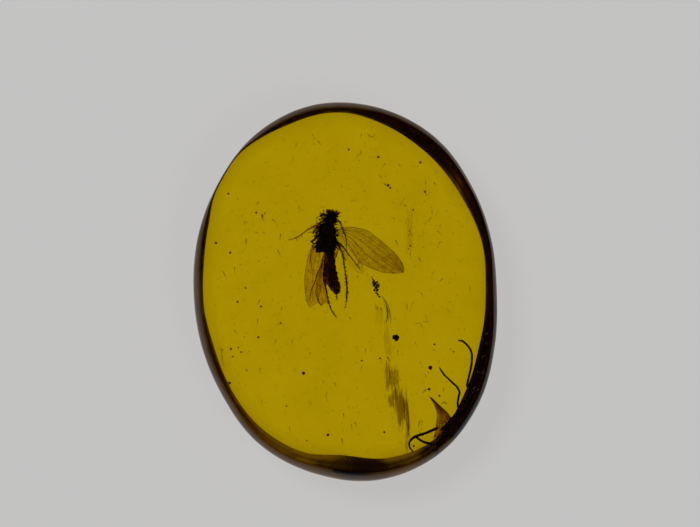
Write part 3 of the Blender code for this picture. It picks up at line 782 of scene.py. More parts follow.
def join(name, parts):
    """Joins separate meshes into one piece."""
    only(parts[0])
    for part in parts:
        part.select_set(True)
    bpy.ops.object.join()
    obj = bpy.context.object
    obj.name = name
    obj.data.name = name
    return obj


def draw_ball(name, centre, radius, cuts):
    """A round lump, which the caller shapes further."""
    start_piece()
    bpy.ops.mesh.primitive_ico_sphere_add(subdivisions=cuts, radius=radius * MM)
    obj = bpy.context.object
    obj.name = name
    for vert in obj.data.vertices:
        vert.co += Vector(centre) * MM
    bpy.ops.object.shade_smooth()
    return obj


def copies(name, pattern, places):
    """One mesh that holds a copy of the pattern's mesh at each of the placing matrices."""
    points = np.array([v.co[:] for v in pattern.data.vertices])
    polygons = [tuple(p.vertices) for p in pattern.data.polygons]
    bpy.data.objects.remove(pattern, do_unlink=True)
    all_points = []
    all_polygons = []
    for index, matrix in enumerate(places):
        turn = np.array(matrix)
        all_points.append(points @ turn[:3, :3].T + turn[:3, 3])
        first = index * len(points)
        all_polygons.extend(tuple(first + corner for corner in polygon) for polygon in polygons)
    mesh = bpy.data.meshes.new(name)
    mesh.from_pydata(np.concatenate(all_points).tolist(), [], all_polygons)
    obj = bpy.data.objects.new(name, mesh)
    bpy.context.collection.objects.link(obj)
    only(obj)
    bpy.ops.object.shade_smooth()
    return obj


def bent_hair(bend):
    """One tapering hair of unit length and unit radius, bent towards +X."""
    path = []
    for share, radius in ((0.0, 1.0), (0.35, 0.8), (0.70, 0.5), (1.0, 0.12)):
        path.append(Vector((bend * share ** 2, 0, share, radius, radius)))
    return draw_tube("hair", path, sides=3)


def hair_place(root, direction, lean, length, radius):
    """The matrix that stands a unit hair on root, along direction, bent towards lean."""
    rise = direction.normalized()
    side = lean - rise * lean.dot(rise)
    side = side.normalized() if side.length > 1e-5 else rise.orthogonal().normalized()
    return placing(side * radius, rise.cross(side) * radius, rise * length, root)


def set_piece_value(obj, name, rule):
    """Gives each vertex a value under this name, from a rule of its place in millimetres."""
    layer = obj.data.attributes.new(name, "FLOAT", "POINT")
    for vert in obj.data.vertices:
        layer.data[vert.index].value = rule(vert.co / MM)


def sample_surface(obj, count, rng, wanted):
    """Random points on the faces that wanted accepts, with their normals."""
    faces = [p for p in obj.data.polygons if wanted(p.center / MM)]
    faces.sort(key=lambda face: sorted(face.vertices))
    areas = np.array([p.area for p in faces])
    result = []
    for index in rng.choice(len(faces), size=count, p=areas / areas.sum()):
        face = faces[index]
        corners = [obj.data.vertices[i].co for i in sorted(face.vertices)]
        weights = rng.random(len(corners))
        weights /= weights.sum()
        point = Vector((0, 0, 0))
        for corner, weight in zip(corners, weights):
            point += corner * float(weight)
        result.append((point, face.normal.copy()))
    return result


def scatter(rng, width, length, margin):
    """A random place in the resin: in an oval of these half sizes and off both faces."""
    turn = rng.uniform(0, FULL_TURN)
    reach = math.sqrt(rng.random())
    height = rng.uniform(margin, THICKNESS - margin)
    return Vector((width * reach * math.cos(turn), length * reach * math.sin(turn), height))


def finish_piece(obj, material, slot, *nodes):
    """Gives a piece its material and its body, and hides the CAD nodes that it stands for."""
    obj.data.materials.clear()
    obj.data.materials.append(material)
    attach(obj, BODY)
    if nodes:
        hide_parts(*nodes)


# ---------------------------------------------------------------------------------- materials

# Pairs of linear colours for the two ends of a blend, and single ones.
CLEAR_RESIN = (linear("F4F0E4"), linear("FFFFFF"))
CRUST = (linear("6A3408"), linear("B8640E"))
# Painted shade on the shoulder round the top face, a little less dark where the painted glow is.
SHOULDER_PAINTED_SHADE = ((0.0004, 0.0002, 0.0001), (0.026, 0.0085, 0.002))
# Painted shade that darkens the polished faces near the rim.
POLISH_PAINTED_SHADE = (0.52, 0.44, 0.30)
# Painted shade on the inner side of the crust, seen through the slab.
CRUST_INSIDE_PAINTED_SHADE = (0.030, 0.019, 0.011)
CRUMPLED_WING = linear("8E5C1C")
PLANT_TISSUE = linear("957A30")
PLANT_FIBRE = linear("50300C")
WOOD_MOULD = linear("3E0C04")
RESIN_DUST = linear("6E4A12")
RESIN_FIBRE = linear("5C3A10")

# Noises: the size of their spots, detail, roughness and, where it isn't even, stretch.
RESIN_CLOUDS = (3.5, 3.0)
CRUST_CLOUDS = (2.6, 4.0, 0.55)
GROUND_PATCHES = (1.1, 4.0, 0.6)
GROUND_GRAIN = (0.4, 3.0, 0.6)
RIND_PATCHES = (1.3, 4.0, 0.6, (1.0, 1.0, 1.8))
RIND_GRAIN = (0.25, 3.0)
FILM_CLOUDS = (0.3, 3.0)
WING_CLOUDS = (0.5, 3.0, 0.6)
WING_GRAIN = (0.06, 2.0)
TISSUE_STREAKS = (0.09, 3.0, 0.6, (1.0, 0.09, 1.0))
CUTICLE_PATCHES = (0.28, 4.0, 0.6)
CUTICLE_GRAIN = (0.03, 2.0)


def fill(tree, node, values):
    """Sets a node's properties and inputs; an input takes a number, a colour or an output."""
    for key, value in values.items():
        if not isinstance(key, int) and key not in node.inputs:
            setattr(node, key, value)
        elif isinstance(value, bpy.types.NodeSocket):
            tree.links.new(value, node.inputs[key])
        elif node.inputs[key].type == "RGBA":
            node.inputs[key].default_value = (*value, 1.0)
        else:
            node.inputs[key].default_value = value


def add_node(tree, kind, values):
    """Adds a node with these properties and inputs."""
    node = tree.nodes.new(kind)
    fill(tree, node, values)
    return node


def new_material(name):
    """A node material with a Principled shader; returns it, its tree and the shader."""
    material = bpy.data.materials.new(name)
    material.use_nodes = True
    tree = material.node_tree
    return material, tree, tree.nodes["Principled BSDF"]


def mottle(tree, size, detail=2.0, rough=0.5, stretch=(1.0, 1.0, 1.0)):
    """A noise on the piece's own coordinates whose spots are about size millimetres wide."""
    place = add_node(tree, "ShaderNodeTexCoord", {})
    turned = add_node(
        tree, "ShaderNodeMapping", {"Scale": stretch, "Vector": place.outputs["Object"]})
    spots = add_node(tree, "ShaderNodeTexNoise", {
        "Scale": 1 / (size * MM), "Detail": detail, "Roughness": rough,
        "Vector": turned.outputs["Vector"]})
    return spots.outputs["Fac"]


def ranged(tree, value, low, high, start=0.0, end=1.0):
    """Maps a value from low..high to start..end and holds it there."""
    node = add_node(tree, "ShaderNodeMapRange", {
        "From Min": low, "From Max": high, "To Min": start, "To Max": end, "Value": value})
    return node.outputs["Result"]


def mixed(tree, share, first, second):
    """A colour from first, at share 0, to second, at share 1."""
    node = add_node(tree, "ShaderNodeMix", {"data_type": "RGBA", 0: share, 6: first, 7: second})
    return node.outputs[2]


def times(tree, first, second):
    """The product of two values."""
    node = add_node(tree, "ShaderNodeMath", {"operation": "MULTIPLY", 0: first, 1: second})
    return node.outputs["Value"]


def bump(tree, shader, height, depth, strength):
    """Shades the surface as if it were depth millimetres deep where height is least."""
    node = add_node(tree, "ShaderNodeBump", {
        "Distance": depth * MM, "Strength": strength, "Height": height})
    fill(tree, shader, {"Normal": node.outputs["Normal"]})


def piece_value(tree, name):
    """The value that a piece's vertices carry under this name."""
    return add_node(tree, "ShaderNodeAttribute", {"attribute_name": name}).outputs["Fac"]


def add_absorption(tree, settings):
    """Amber takes up blue light at once, green light within millimetres and red light slowly."""
    through = (settings.red_through, settings.green_through, settings.blue_through)
    rates = [-math.log(share) / (THICKNESS * MM) for share in through]
    density = max(rates)
    volume = add_node(tree, "ShaderNodeVolumeAbsorption", {
        "Color": [1 - rate / density for rate in rates], "Density": density})
    fill(tree, tree.nodes["Material Output"], {"Volume": volume.outputs["Volume"]})


def polished_amber(settings):
    """Amber, a fossil resin, ground flat and polished, with a painted shade that darkens it near
    the rim.
    """
    material, tree, shader = new_material("polished amber")
    clear = mixed(tree, ranged(tree, mottle(tree, *RESIN_CLOUDS), 0.30, 0.70), *CLEAR_RESIN)
    # The painted shade near the rim, from the piece's own values.
    haze = ranged(tree, piece_value(tree, "rim_haze"), 0.0, 1.0)
    fill(tree, shader, {
        "Base Color": mixed(tree, haze, clear, POLISH_PAINTED_SHADE), "Roughness": 0.02,
        "IOR": RESIN_IOR, "Transmission Weight": 1.0})
    add_absorption(tree, settings)
    return material


def crust_colour(tree):
    """The brown of the thin crust on the amber's rough sides, in soft clouds."""
    return mixed(tree, ranged(tree, mottle(tree, *CRUST_CLOUDS), 0.30, 0.72), *CRUST)


def two_sided(tree, shader, outside, outside_clear, inside, inside_clear):
    """The crust's own colour outside, and a painted shade and glow where it is seen through the
    amber.
    """
    facing = add_node(tree, "ShaderNodeNewGeometry", {}).outputs["Backfacing"]
    clear = add_node(
        tree, "ShaderNodeMix", {0: facing, 2: outside_clear, 3: inside_clear})
    fill(tree, shader, {
        "Base Color": mixed(tree, facing, outside, inside),
        "Transmission Weight": clear.outputs[0]})


def ground_amber(settings):
    """Amber ground coarse on a wheel: satin, and brown where grime stays in the scratches; seen
    through the slab it is a dark painted shade with an orange painted glow.
    """
    material, tree, shader = new_material("ground amber")
    patches = ranged(tree, mottle(tree, *GROUND_PATCHES), 0.30, 0.70, 0.55, 1.3)
    glow = times(tree, piece_value(tree, "rim_glow"), patches)
    # Inside, the bevel is painted: dark shade, turning to an orange glow where the painted glow is
    # high.
    two_sided(
        tree, shader, crust_colour(tree), CRUST_CLEAR,
        mixed(tree, glow, settings.bevel_painted_shade, settings.bevel_painted_glow),
        ranged(tree, glow, 0.0, 0.5, 0.28, 0.92))
    fill(tree, shader, {"Roughness": ranged(tree, glow, 0.0, 1.0, 0.08, 0.62), "IOR": RESIN_IOR})
    bump(tree, shader, mottle(tree, *GROUND_GRAIN), 0.015, 0.3)
    add_absorption(tree, settings)
    return material


def amber_rind(settings):
    """The skin on the wall and shoulder: a brown, cloudy crust that turns to a near-black painted
    shade towards the top, and a dark painted shade where it is seen through the amber.
    """
    material, tree, shader = new_material("weathered amber rind")
    high = ranged(tree, piece_value(tree, "rim_haze"), 1.0, 0.15)
    patches = mottle(tree, *RIND_PATCHES)
    glow_spots = ranged(tree, patches, 0.35, 0.65, 0.5, 1.5)
    glow = times(tree, piece_value(tree, "rim_glow"), glow_spots)
    painted_shoulder_shade = mixed(tree, glow, *SHOULDER_PAINTED_SHADE)
    # Outside the crust turns to painted shade towards the top; inside it is painted shade
    # throughout.
    two_sided(
        tree, shader,
        mixed(tree, high, crust_colour(tree), painted_shoulder_shade),
        ranged(tree, high, 0.0, 1.0, CRUST_CLEAR, 0.95),
        mixed(tree, high, CRUST_INSIDE_PAINTED_SHADE, painted_shoulder_shade),
        ranged(tree, high, 0.0, 1.0, 0.28, 0.95))
    fill(tree, shader, {
        "Roughness": ranged(tree, patches, 0.3, 0.7, 0.05, 0.12), "IOR": RESIN_IOR})
    bump(tree, shader, mottle(tree, *RIND_GRAIN), 0.01, 0.3)
    add_absorption(tree, settings)
    return material


def tinted_film(name, colour, cover=None):
    """A film that lets brown light through; cover builds the share of light that meets it."""
    material, tree, shader = new_material(name)
    tone = ranged(tree, mottle(tree, *FILM_CLOUDS), 0.35, 0.65)
    fill(tree, shader, {
        "Base Color": mixed(tree, tone, tuple(0.8 * c for c in colour), tuple(colour)),
        "Roughness": 0.3, "IOR": SEALED_IOR, "Transmission Weight": 1.0,
        "Alpha": cover(tree) if cover else 1.0})
    return material


def sheet_share(tree, axis):
    """How far along (0) or across (1) a sheet a point lies, from the sheet's own map."""
    place = add_node(tree, "ShaderNodeUVMap", {"uv_map": "UVMap"})
    split = add_node(tree, "ShaderNodeSeparateXYZ", {"Vector": place.outputs["UV"]})
    return split.outputs[axis]


def wing_membrane(name, colour, axis, start, end):
    """A dry wing: a film of brown chitin in cloudy patches, denser towards one side."""
    def cover(tree):
        base = ranged(tree, sheet_share(tree, axis), 0.0, 1.0, start, end)
        cloud = ranged(tree, mottle(tree, *WING_CLOUDS), 0.35, 0.65, 0.6, 1.35)
        grain = ranged(tree, mottle(tree, *WING_GRAIN), 0.35, 0.65, 0.7, 1.3)
        return times(tree, times(tree, base, cloud), grain)

    return tinted_film(name, colour, cover)


def plant_tissue(name, density):
    """Torn plant tissue: a brown film, streaked along its fibres and frayed all round."""
    def cover(tree):
        streaks = mottle(tree, *TISSUE_STREAKS)
        along, across = sheet_share(tree, 0), sheet_share(tree, 1)
        sides = times(tree, ranged(tree, across, 0.0, 0.3), ranged(tree, across, 1.0, 0.7))
        ends = times(tree, ranged(tree, along, 0.0, 0.3), ranged(tree, along, 1.0, 0.72))
        whole = add_node(tree, "ShaderNodeMath", {
            "operation": "MULTIPLY_ADD", 0: times(tree, sides, ends), 1: 0.34, 2: streaks})
        return ranged(tree, whole.outputs["Value"], 0.54, 0.82, 0.0, density)

    return tinted_film(name, PLANT_TISSUE, cover)


def insect_cuticle(settings):
    """Cuticle, tanned by age: nearly black plates, brown and see-through where it is thin."""
    material, tree, shader = new_material("insect cuticle")
    patches = ranged(tree, mottle(tree, *CUTICLE_PATCHES), 0.36, 0.66, 0.15, 1.35)
    thin = times(tree, piece_value(tree, "thin_skin"), patches)
    fill(tree, shader, {
        "Base Color": mixed(tree, thin, settings.cuticle, settings.cuticle_light),
        "Roughness": 0.5, "IOR": SEALED_IOR,
        "Transmission Weight": ranged(tree, thin, 0.0, 1.0, 0.0, 0.9)})
    bump(tree, shader, mottle(tree, *CUTICLE_GRAIN), 0.01, 0.6)
    return material


def dull_solid(name, grain, low, high, dark, light, roughness, depth):
    """A matt finish in grains of two colours, each depth millimetres deep."""
    material, tree, shader = new_material(name)
    spots = mottle(tree, *grain)
    fill(tree, shader, {
        "Base Color": mixed(tree, ranged(tree, spots, low, high), linear(dark), linear(light)),
        "Roughness": roughness})
    if depth:
        bump(tree, shader, spots, depth, 0.8)
    return material


def insect_frass():
    """Dried droppings: dull crumbly brown lumps."""
    return dull_solid(
        "insect frass", (0.06, 4.0, 0.7), 0.42, 0.68, "1C1206", "7A4E18", 0.9, 0.03)


def bark_crumb_finish():
    """A crumb of bark: nearly black, coarse and matt."""
    return dull_solid(
        "bark crumb", (0.10, 4.0, 0.7), 0.40, 0.70, "120B05", "4A3418", 0.95, 0.04)


def pit_filling():
    """Pale polishing powder left in small pits."""
    return dull_solid(
        "polishing powder", (0.05, 3.0), 0.40, 0.65, "6A5A3A", "B8A888", 0.9, 0)


def floor_finish(settings):
    """A light table's top: pale frosted acrylic, lit evenly from below."""
    material, tree, shader = new_material("frosted acrylic")
    fill(tree, shader, {
        "Base Color": (0.25, 0.25, 0.25), "Roughness": 0.9, "Specular IOR Level": 0.1,
        "Emission Color": (0.995, 0.985, 0.98), "Emission Strength": settings.floor_glow})
    return material


# ---------------------------------------------------------------------------------- operators


def rim_points(settings):
    """The outline's point and angle at each step round the rim, fitted to the frame's box."""
    angles = [360 * step / settings.rim_steps for step in range(settings.rim_steps)]
    raw = []
    for angle in angles:
        turn = math.radians(angle)
        radius = round_value(OVAL_RADIUS, angle)
        raw.append(Vector((radius * math.cos(turn), radius * math.sin(turn))))
    low, high = (
        Vector((pick(p.x for p in raw), pick(p.y for p in raw))) for pick in (min, max))
    size = Vector((HIGH[0] - LOW[0], HIGH[1] - LOW[1]))
    middle = (low + high) / 2
    points = []
    for p, angle in zip(raw, angles):
        x = (p.x - middle.x) * size.x / (high.x - low.x)
        y = (p.y - middle.y) * size.y / (high.y - low.y)
        points.append((Vector((x, y)), angle))
    return points


def rim_profile(settings):
    """Rules, lowest first: each gives a ring's inset, height, painted shade and painted glow at an
    angle.
    """
    top = THICKNESS * MM
    reach = math.radians(SHOULDER_REACH)

    def bevel_width(angle):
        return max(LEAST_BEVEL, round_value(BEVEL_WIDTH, angle)) * MM

    def bevel_top(angle):
        return min(settings.bevel_rise * bevel_width(angle), settings.bevel_top)

    def shoulder_size(angle):
        width = round_value(SHOULDER_WIDTH, angle) * MM
        tall = max(settings.shoulder_height, SHOULDER_STEEP * width)
        return width, min(SHOULDER_TALLEST * MM, tall)

    def foot_rule(inset, haze):
        def rule(angle):
            # The foot's painted shade is stronger where the bevel's painted glow is.
            shade_strength = 0.6 + 1.2 * min(0.6, round_value(RIM_PAINTED_GLOW, angle))
            return bevel_width(angle) + inset * MM, 0.0, haze * shade_strength, FOOT_PAINTED_GLOW
        return rule

    def bevel_rule(inset, rise, glow):
        return lambda angle: (inset * bevel_width(angle), rise * bevel_top(angle), 1.0, glow)

    def wall_rule(share):
        def rule(angle):
            start = bevel_top(angle)
            end = top - shoulder_size(angle)[1]
            # The wall's painted shade deepens a little towards the top.
            return 0.0, start + (end - start) * share, 1.0 - 0.25 * share ** 2, 0.0
        return rule

    def shoulder_rule(share):
        turn = reach * share

        def rule(angle):
            width, tall = shoulder_size(angle)
            inset = width * (1 - math.cos(turn)) / (1 - math.cos(reach))
            height = top - tall * (1 - math.sin(turn) / math.sin(reach))
            # The painted shade deepens over the shoulder towards the top face.
            return inset, height, max(0.0, 0.75 - 1.6 * share), 1.0
        return rule

    shares = [step / SHOULDER_STEPS for step in range(SHOULDER_STEPS + 1)]
    return [
        *(foot_rule(*ring) for ring in FOOT_RINGS),
        *(bevel_rule(*ring) for ring in BEVEL_RINGS),
        *(wall_rule(share) for share in WALL_RINGS),
        *(shoulder_rule(share) for share in shares),
    ]


class AMBER_OT_slab(bpy.types.Operator):
    """Makes the slab of clear amber with its ground bevel and polished faces"""
    bl_idname = "amber.make_slab"
    bl_label = "Amber slab"

    def execute(self, context):
        settings = context.scene.amber_slab
        rim = rim_points(settings)

        def place_ring(mesh, verts, rule):
            """Puts the ring just extruded in its place and gives it its painted shade and painted
            glow.
            """
            painted_shade_layer = mesh.verts.layers.float["rim_haze"]
            painted_glow_layer = mesh.verts.layers.float["rim_glow"]
            verts.sort(key=lambda v: math.atan2(v.co.y, v.co.x) % (FULL_TURN - 1e-6))
            for vert, (point, angle) in zip(verts, rim):
                inset, height, haze, glow = rule(angle)
                place = point * ((point.length - inset) / point.length)
                vert.co = (place.x, place.y, height)
                vert[painted_shade_layer] = haze
                vert[painted_glow_layer] = glow * max(0.0, round_value(RIM_PAINTED_GLOW, angle))

        start_piece()
        bpy.ops.mesh.primitive_circle_add(
            vertices=settings.rim_steps, radius=LOW.length, fill_type="NGON")
        slab = context.object
        slab.name = "amber_slab"
        for name in ("rim_haze", "rim_glow"):
            slab.data.attributes.new(name, "FLOAT", "POINT")
        extrude_rings(slab, rim_profile(settings), place_ring)
        self.uneven_rim(slab, settings)
        finish_piece(slab, polished_amber(settings), "amber", "amber_lower", "amber_upper")
        slab.data.materials.append(ground_amber(settings))
        slab.data.materials.append(amber_rind(settings))
        for face in slab.data.polygons:
            if abs(face.normal.z) < FLAT_NORMAL:
                face.material_index = 1 if face.normal.z < UNDERCUT_NORMAL else 2
        only(slab)
        bpy.ops.object.shade_smooth_by_angle(angle=SHARP_EDGE)
        return {"FINISHED"}

    def uneven_rim(self, slab, settings):
        """Shifts the rim between the two flat faces inwards here and there."""
        top = THICKNESS * MM
        for vert in slab.data.vertices:
            share = min(1.0, max(0.0, min(vert.co.z, top - vert.co.z) / (RIM_FADE * MM)))
            lift = 0.5 * (noise.fractal(vert.co / (RIM_GRAIN * MM), *RIM_NOISE) - 1.0)
            away = Vector((vert.co.x, vert.co.y, 0)).normalized()
            vert.co += away * min(0.0, lift) * settings.roughness * share


class AMBER_OT_insect_body(bpy.types.Operator):
    """Makes the caddisfly's head, thorax, ringed abdomen, palps, antennae and legs"""
    bl_idname = "amber.make_insect_body"
    bl_label = "Caddisfly body"

    def execute(self, context):
        parts = [self.thorax(), self.abdomen()]
        parts.append(draw_limb("coxae", *COXAE, steps=6, sides=12, flat=0.9))
        roughen(parts[-1], 0.12, 0.03, 2.0)
        parts += [self.eye(side) for side in (-1, 1)]
        for name, spec in PALPS.items():
            parts.append(self.palp(name, spec, len(parts)))
        for name, spec in LIMBS.items():
            kind = self.antenna if name.startswith("antenna") else self.leg
            parts.append(kind(name, spec))
        for part in parts:
            kind = part.name.split(".")[0]
            thin = THINNESS.get(kind, LIMB_THINNESS)
            rule = self.belly_thinness if kind == "abdomen" else lambda place: thin
            set_piece_value(part, "thin_skin", rule)
        body = join("caddisfly_body", parts)
        cuticle = insect_cuticle(context.scene.amber_insect)
        finish_piece(body, cuticle, "insect", "caddisfly")
        return {"FINISHED"}

    def belly_thinness(self, place):
        """The abdomen is dark along its middle, and browner to the left and at the lower right."""
        above = sum(row[1] >= place.y for row in ABDOMEN[1:-1])
        start, end = ABDOMEN[above], ABDOMEN[above + 1]
        share = min(1.0, (start[1] - place.y) / (start[1] - end[1]))
        centre, width = (start[k] + (end[k] - start[k]) * share for k in (0, 2))
        side = (place.x - centre) / width
        left = max(0.0, -side - 0.15) * 1.2
        right = max(0.0, side - 0.25) * (0.35 if place.y > 0.9 else 1.1)
        return 0.22 + left + right

    def thorax(self):
        part = draw_tube("thorax", body_path(HEAD_AND_THORAX, steps=4), sides=20)
        return rounded(part, (0.45, 0.09, 3.0), (0.12, 0.04, 5.0))

    def abdomen(self):
        """The abdomen bulges in rings, each with its hind edge standing over the next."""
        path = body_path(ABDOMEN, steps=10)
        last = len(path) - 1
        for index, point in enumerate(path):
            phase = (index / last * ABDOMEN_RINGS) % 1.0
            swell = 1.0 - 0.13 * (1.0 - phase) ** 3 - 0.05 * phase ** 8
            point[3] *= swell
            point[4] *= swell
        return rounded(draw_tube("abdomen", path, sides=22), (0.25, 0.04, 8.0))

    def eye(self, side):
        centre = (-1.00 + 0.21 * side, 4.90, MIDDLE + 0.06)
        return draw_ball("eye", centre, radius=0.11, cuts=4)

    def palp(self, name, spec, seed):
        return rounded(draw_limb(name, *spec, steps=4, sides=10), (0.12, 0.035, seed))

    def leg(self, name, spec):
        return rounded(draw_limb(name, *spec, steps=6, sides=9), (0.10, 0.005, len(name)))

    def antenna(self, name, spec):
        """A string of short joints with a waist at every third point."""
        path = smooth_path(climbing(*spec), steps=14)
        for point in path[::3]:
            point[3] *= WAIST
            point[4] *= WAIST
        return draw_tube(name, path, sides=8)


def wing_places():
    """Each wing's name and the function that places points on it."""
    for index, (name, spec) in enumerate(WINGS.items()):
        yield name, sheet_place(spec, WING_WAVE, index * 3.7)


class AMBER_OT_insect_wings(bpy.types.Operator):
    """Makes the caddisfly's wings: thin waved membranes"""
    bl_idname = "amber.make_insect_wings"
    bl_label = "Caddisfly wings"

    def execute(self, context):
        settings = context.scene.amber_insect
        cover = settings.membrane_cover
        finishes = {}
        for name, (colour, root, tip) in WING_FINISHES.items():
            finishes[name] = wing_membrane(
                name, getattr(settings, colour), 0, root * cover, tip * cover)
        for name, place in wing_places():
            wing = draw_sheet(name, place, (60, 24), settings.membrane_thickness)
            finish_piece(wing, finishes[WING_FINISH[name]], "insect")
        return {"FINISHED"}


class AMBER_OT_insect_veins(bpy.types.Operator):
    """Makes the wing veins, the folds of the closed wings and the hairs on the wings"""
    bl_idname = "amber.make_insect_veins"
    bl_label = "Wing veins"

    def execute(self, context):
        settings = context.scene.amber_insect
        tubes = []
        hairs = []
        rng = np.random.default_rng(WING_SEED)
        for name, place in wing_places():
            open_wing = name == "forewing_right"
            for number, run in enumerate(VEINS):
                main = number in MAIN_VEINS
                if open_wing or main:
                    stout = STOUT_VEIN if open_wing and main else PLAIN_VEIN
                    tubes.append(self.vein(place, run, settings.vein_radius * stout))
            if name != "hindwing_right":
                hairs += self.wing_hairs(place, rng, 220 if open_wing else 70)
        for run in WING_FOLDS:
            stations = [(x, y, z, width, 0.5 * width) for x, y, z, width in run]
            tubes.append(draw_tube("fold", strand_path(stations, steps=6), sides=6))
        chitin = tinted_film("wing vein chitin", settings.vein)
        finish_piece(join("wing_veins", tubes), chitin, "insect")
        fringe = copies("wing_hairs", bent_hair(3.0), hairs)
        finish_piece(fringe, tinted_film("fine hair", settings.fine_hair), "insect")
        return {"FINISHED"}

    def vein(self, place, run, stout):
        """A vein that tapers to half its radius along a run of shares of the wing."""
        steps = smooth_path([Vector(p) for p in run], steps=6)
        path = []
        for step, (along, across) in enumerate(steps):
            spot = place(along, min(across, 1.0))
            radius = stout * (1.0 - 0.5 * step / (len(steps) - 1))
            path.append(Vector((*spot, radius, radius)))
        return draw_tube("vein", path, sides=5)

    def wing_hairs(self, place, rng, count):
        """Short hairs lying on the membrane, and a fringe that stands out from the wing's edge."""
        hairs = []
        radius = WING_HAIR_RADIUS * MM
        for _ in range(count):
            along, across = rng.random(2)
            root = place(along, across)
            tip = place(min(along + 0.03, 1.0), across)
            direction = (tip - root).normalized() + UP * float(rng.normal(0.25, 0.1))
            length = (0.05 + 0.06 * rng.random()) * MM
            hairs.append(hair_place(root, direction, UP, length, radius))
        steps = 130
        for step in range(steps):
            along = 0.2 + 0.8 * step / (steps - 1)
            for edge in (0.0, 1.0):
                root = place(along, edge)
                ahead = root - place(along - 0.03, edge)
                out = (root - place(along, 0.5)).normalized() * 0.5 + ahead.normalized()
                length = (0.04 + 0.12 * along * rng.random()) * MM
                hairs.append(hair_place(root, out, UP, length, radius))
        return hairs


class AMBER_OT_insect_hair(bpy.types.Operator):
    """Makes the hairs on the head, thorax, abdomen, palps and legs"""
    bl_idname = "amber.make_insect_hair"
    bl_label = "Caddisfly hair"

    def execute(self, context):
        settings = context.scene.amber_insect
        body = bpy.data.objects.get("caddisfly_body")
        if body is None:
            raise RuntimeError("the caddisfly's body is made before its hair")
        rng = np.random.default_rng(HAIR_SEED)
        bristle = tinted_film("insect bristle", settings.hair)
        soft = bpy.data.materials["fine hair"]
        for name, groups, finish in (
                ("caddisfly_bristles", BRISTLES, bristle), ("caddisfly_hair", FINE_HAIRS, soft)):
            places = []
            for group in groups:
                places += self.hair_places(body, settings, rng, *group)
            finish_piece(copies(name, bent_hair(6.0), places), finish, "insect")
        return {"FINISHED"}

    def hair_places(self, body, settings, rng, divisor, share, radius, lean, box, inside):
        """Places for one group of hairs, which lean towards the tail."""
        tail = Vector((0.1, -1.0, 0.0))
        reach = share * settings.hair_length
        left, right, rear, front = box

        def wanted(spot):
            return (left < spot.x < right and rear < spot.y < front) == inside

        places = []
        for point, normal in sample_surface(body, settings.hair_count // divisor, rng, wanted):
            flat = Vector((normal.x, normal.y, normal.z * 0.5))
            direction = flat.normalized() + tail * lean * float(rng.uniform(0.4, 1.2))
            direction += Vector(rng.normal(0, 0.25, 3).tolist())
            size = reach * float(rng.uniform(0.45, 1.1))
            places.append(hair_place(point, direction, tail, size, radius * MM))
        return places


class AMBER_OT_rim_fly(bpy.types.Operator):
    """Makes the long-legged fly at the rim, with its crumpled wing"""
    bl_idname = "amber.make_rim_fly"
    bl_label = "Long-legged fly"

    def execute(self, context):
        settings = context.scene.amber_insect
        cover = settings.membrane_cover
        body = draw_tube("fly_body", body_path(FLY_BODY, steps=5), sides=14)
        parts = [rounded(body, (0.2, 0.03, 2.0))]
        for points, low, high in FLY_LEGS:
            stout = [(x, y, 1.15 * radius) for x, y, radius in points]
            leg = draw_limb("fly_leg", stout, low, high, steps=5, sides=9)
            parts.append(rounded(leg, (0.12, 0.014, len(parts))))
        fly = join("fly_body_and_legs", parts)
        set_piece_value(fly, "thin_skin", lambda place: FLY_THINNESS)
        finish_piece(fly, insect_cuticle(settings), "insect", "long_legged_fly")
        place = sheet_place(FLY_WING, FLY_WING_WAVE, 5.0)
        wing = draw_sheet("fly_wing", place, (50, 30), settings.membrane_thickness)
        membrane = wing_membrane(
            "crumpled wing membrane", CRUMPLED_WING, 1, 3.9 * cover, 2.1 * cover)
        finish_piece(wing, membrane, "insect")
        folds = [self.fold(place, across, settings.vein_radius) for across in FLY_WING_FOLDS]
        chitin = bpy.data.materials["wing vein chitin"]
        finish_piece(join("fly_wing_folds", folds), chitin, "insect")
        return {"FINISHED"}

    def fold(self, place, across, thin):
        """A wavy fold along the wing, stouter near its leading edge."""
        radius = thin * (1.8 - 1.4 * across)
        path = []
        for step in range(13):
            spot = place(step / 12, across + 0.03 * math.sin(step + 9 * across))
            path.append(Vector((*spot, radius, radius)))
        return draw_tube("fly_fold", path, sides=5)


class AMBER_OT_debris(bpy.types.Operator):
    """Makes the droppings, the bark crumb, the torn films of tissue and the threads"""
    bl_idname = "amber.make_debris"
    bl_label = "Debris"

    def execute(self, context):
        lumps = []
        for index, (x, y, radius) in enumerate(DROPPINGS):
            height = MIDDLE + 0.5 * radius * math.sin(2.4 * index)
            lump = draw_ball("lump", (x, y, height), radius, cuts=4)
            roughen(lump, 0.10, 0.9 * radius, index * 2.3)
            lumps.append(lump)
        finish_piece(join("droppings_lumps", lumps), insect_frass(), "debris", "droppings")
        bark = [draw_ball("bark", (x, y, MIDDLE), radius, cuts=4) for x, y, radius in CRUMB]
        for part in bark:
            roughen(part, 0.12, 0.05, 4.0)
        finish_piece(join("bark_lump", bark), bark_crumb_finish(), "debris", "bark_crumb")
        for index, (*spec, density) in enumerate(VEILS):
            place = sheet_place(spec, VEIL_WAVE, index * 1.7)
            veil = draw_sheet(f"tissue_film_{index}", place, (30, 10), VEIL_THICKNESS * MM)
            finish_piece(veil, plant_tissue(f"plant tissue {index}", density), "fibre")
        threads = []
        for index, run in enumerate(THREADS):
            height = 0.03 * math.sin(2.0 * index)
            stations = [(x, y, height, 0.55 * width, 0.3 * width) for x, y, width in run]
            threads.append(draw_tube("thread", strand_path(stations, steps=7), sides=6))
        finish = tinted_film("plant fibre", PLANT_FIBRE)
        finish_piece(join("tissue_threads", threads), finish, "fibre", "fibre_shred")
        return {"FINISHED"}


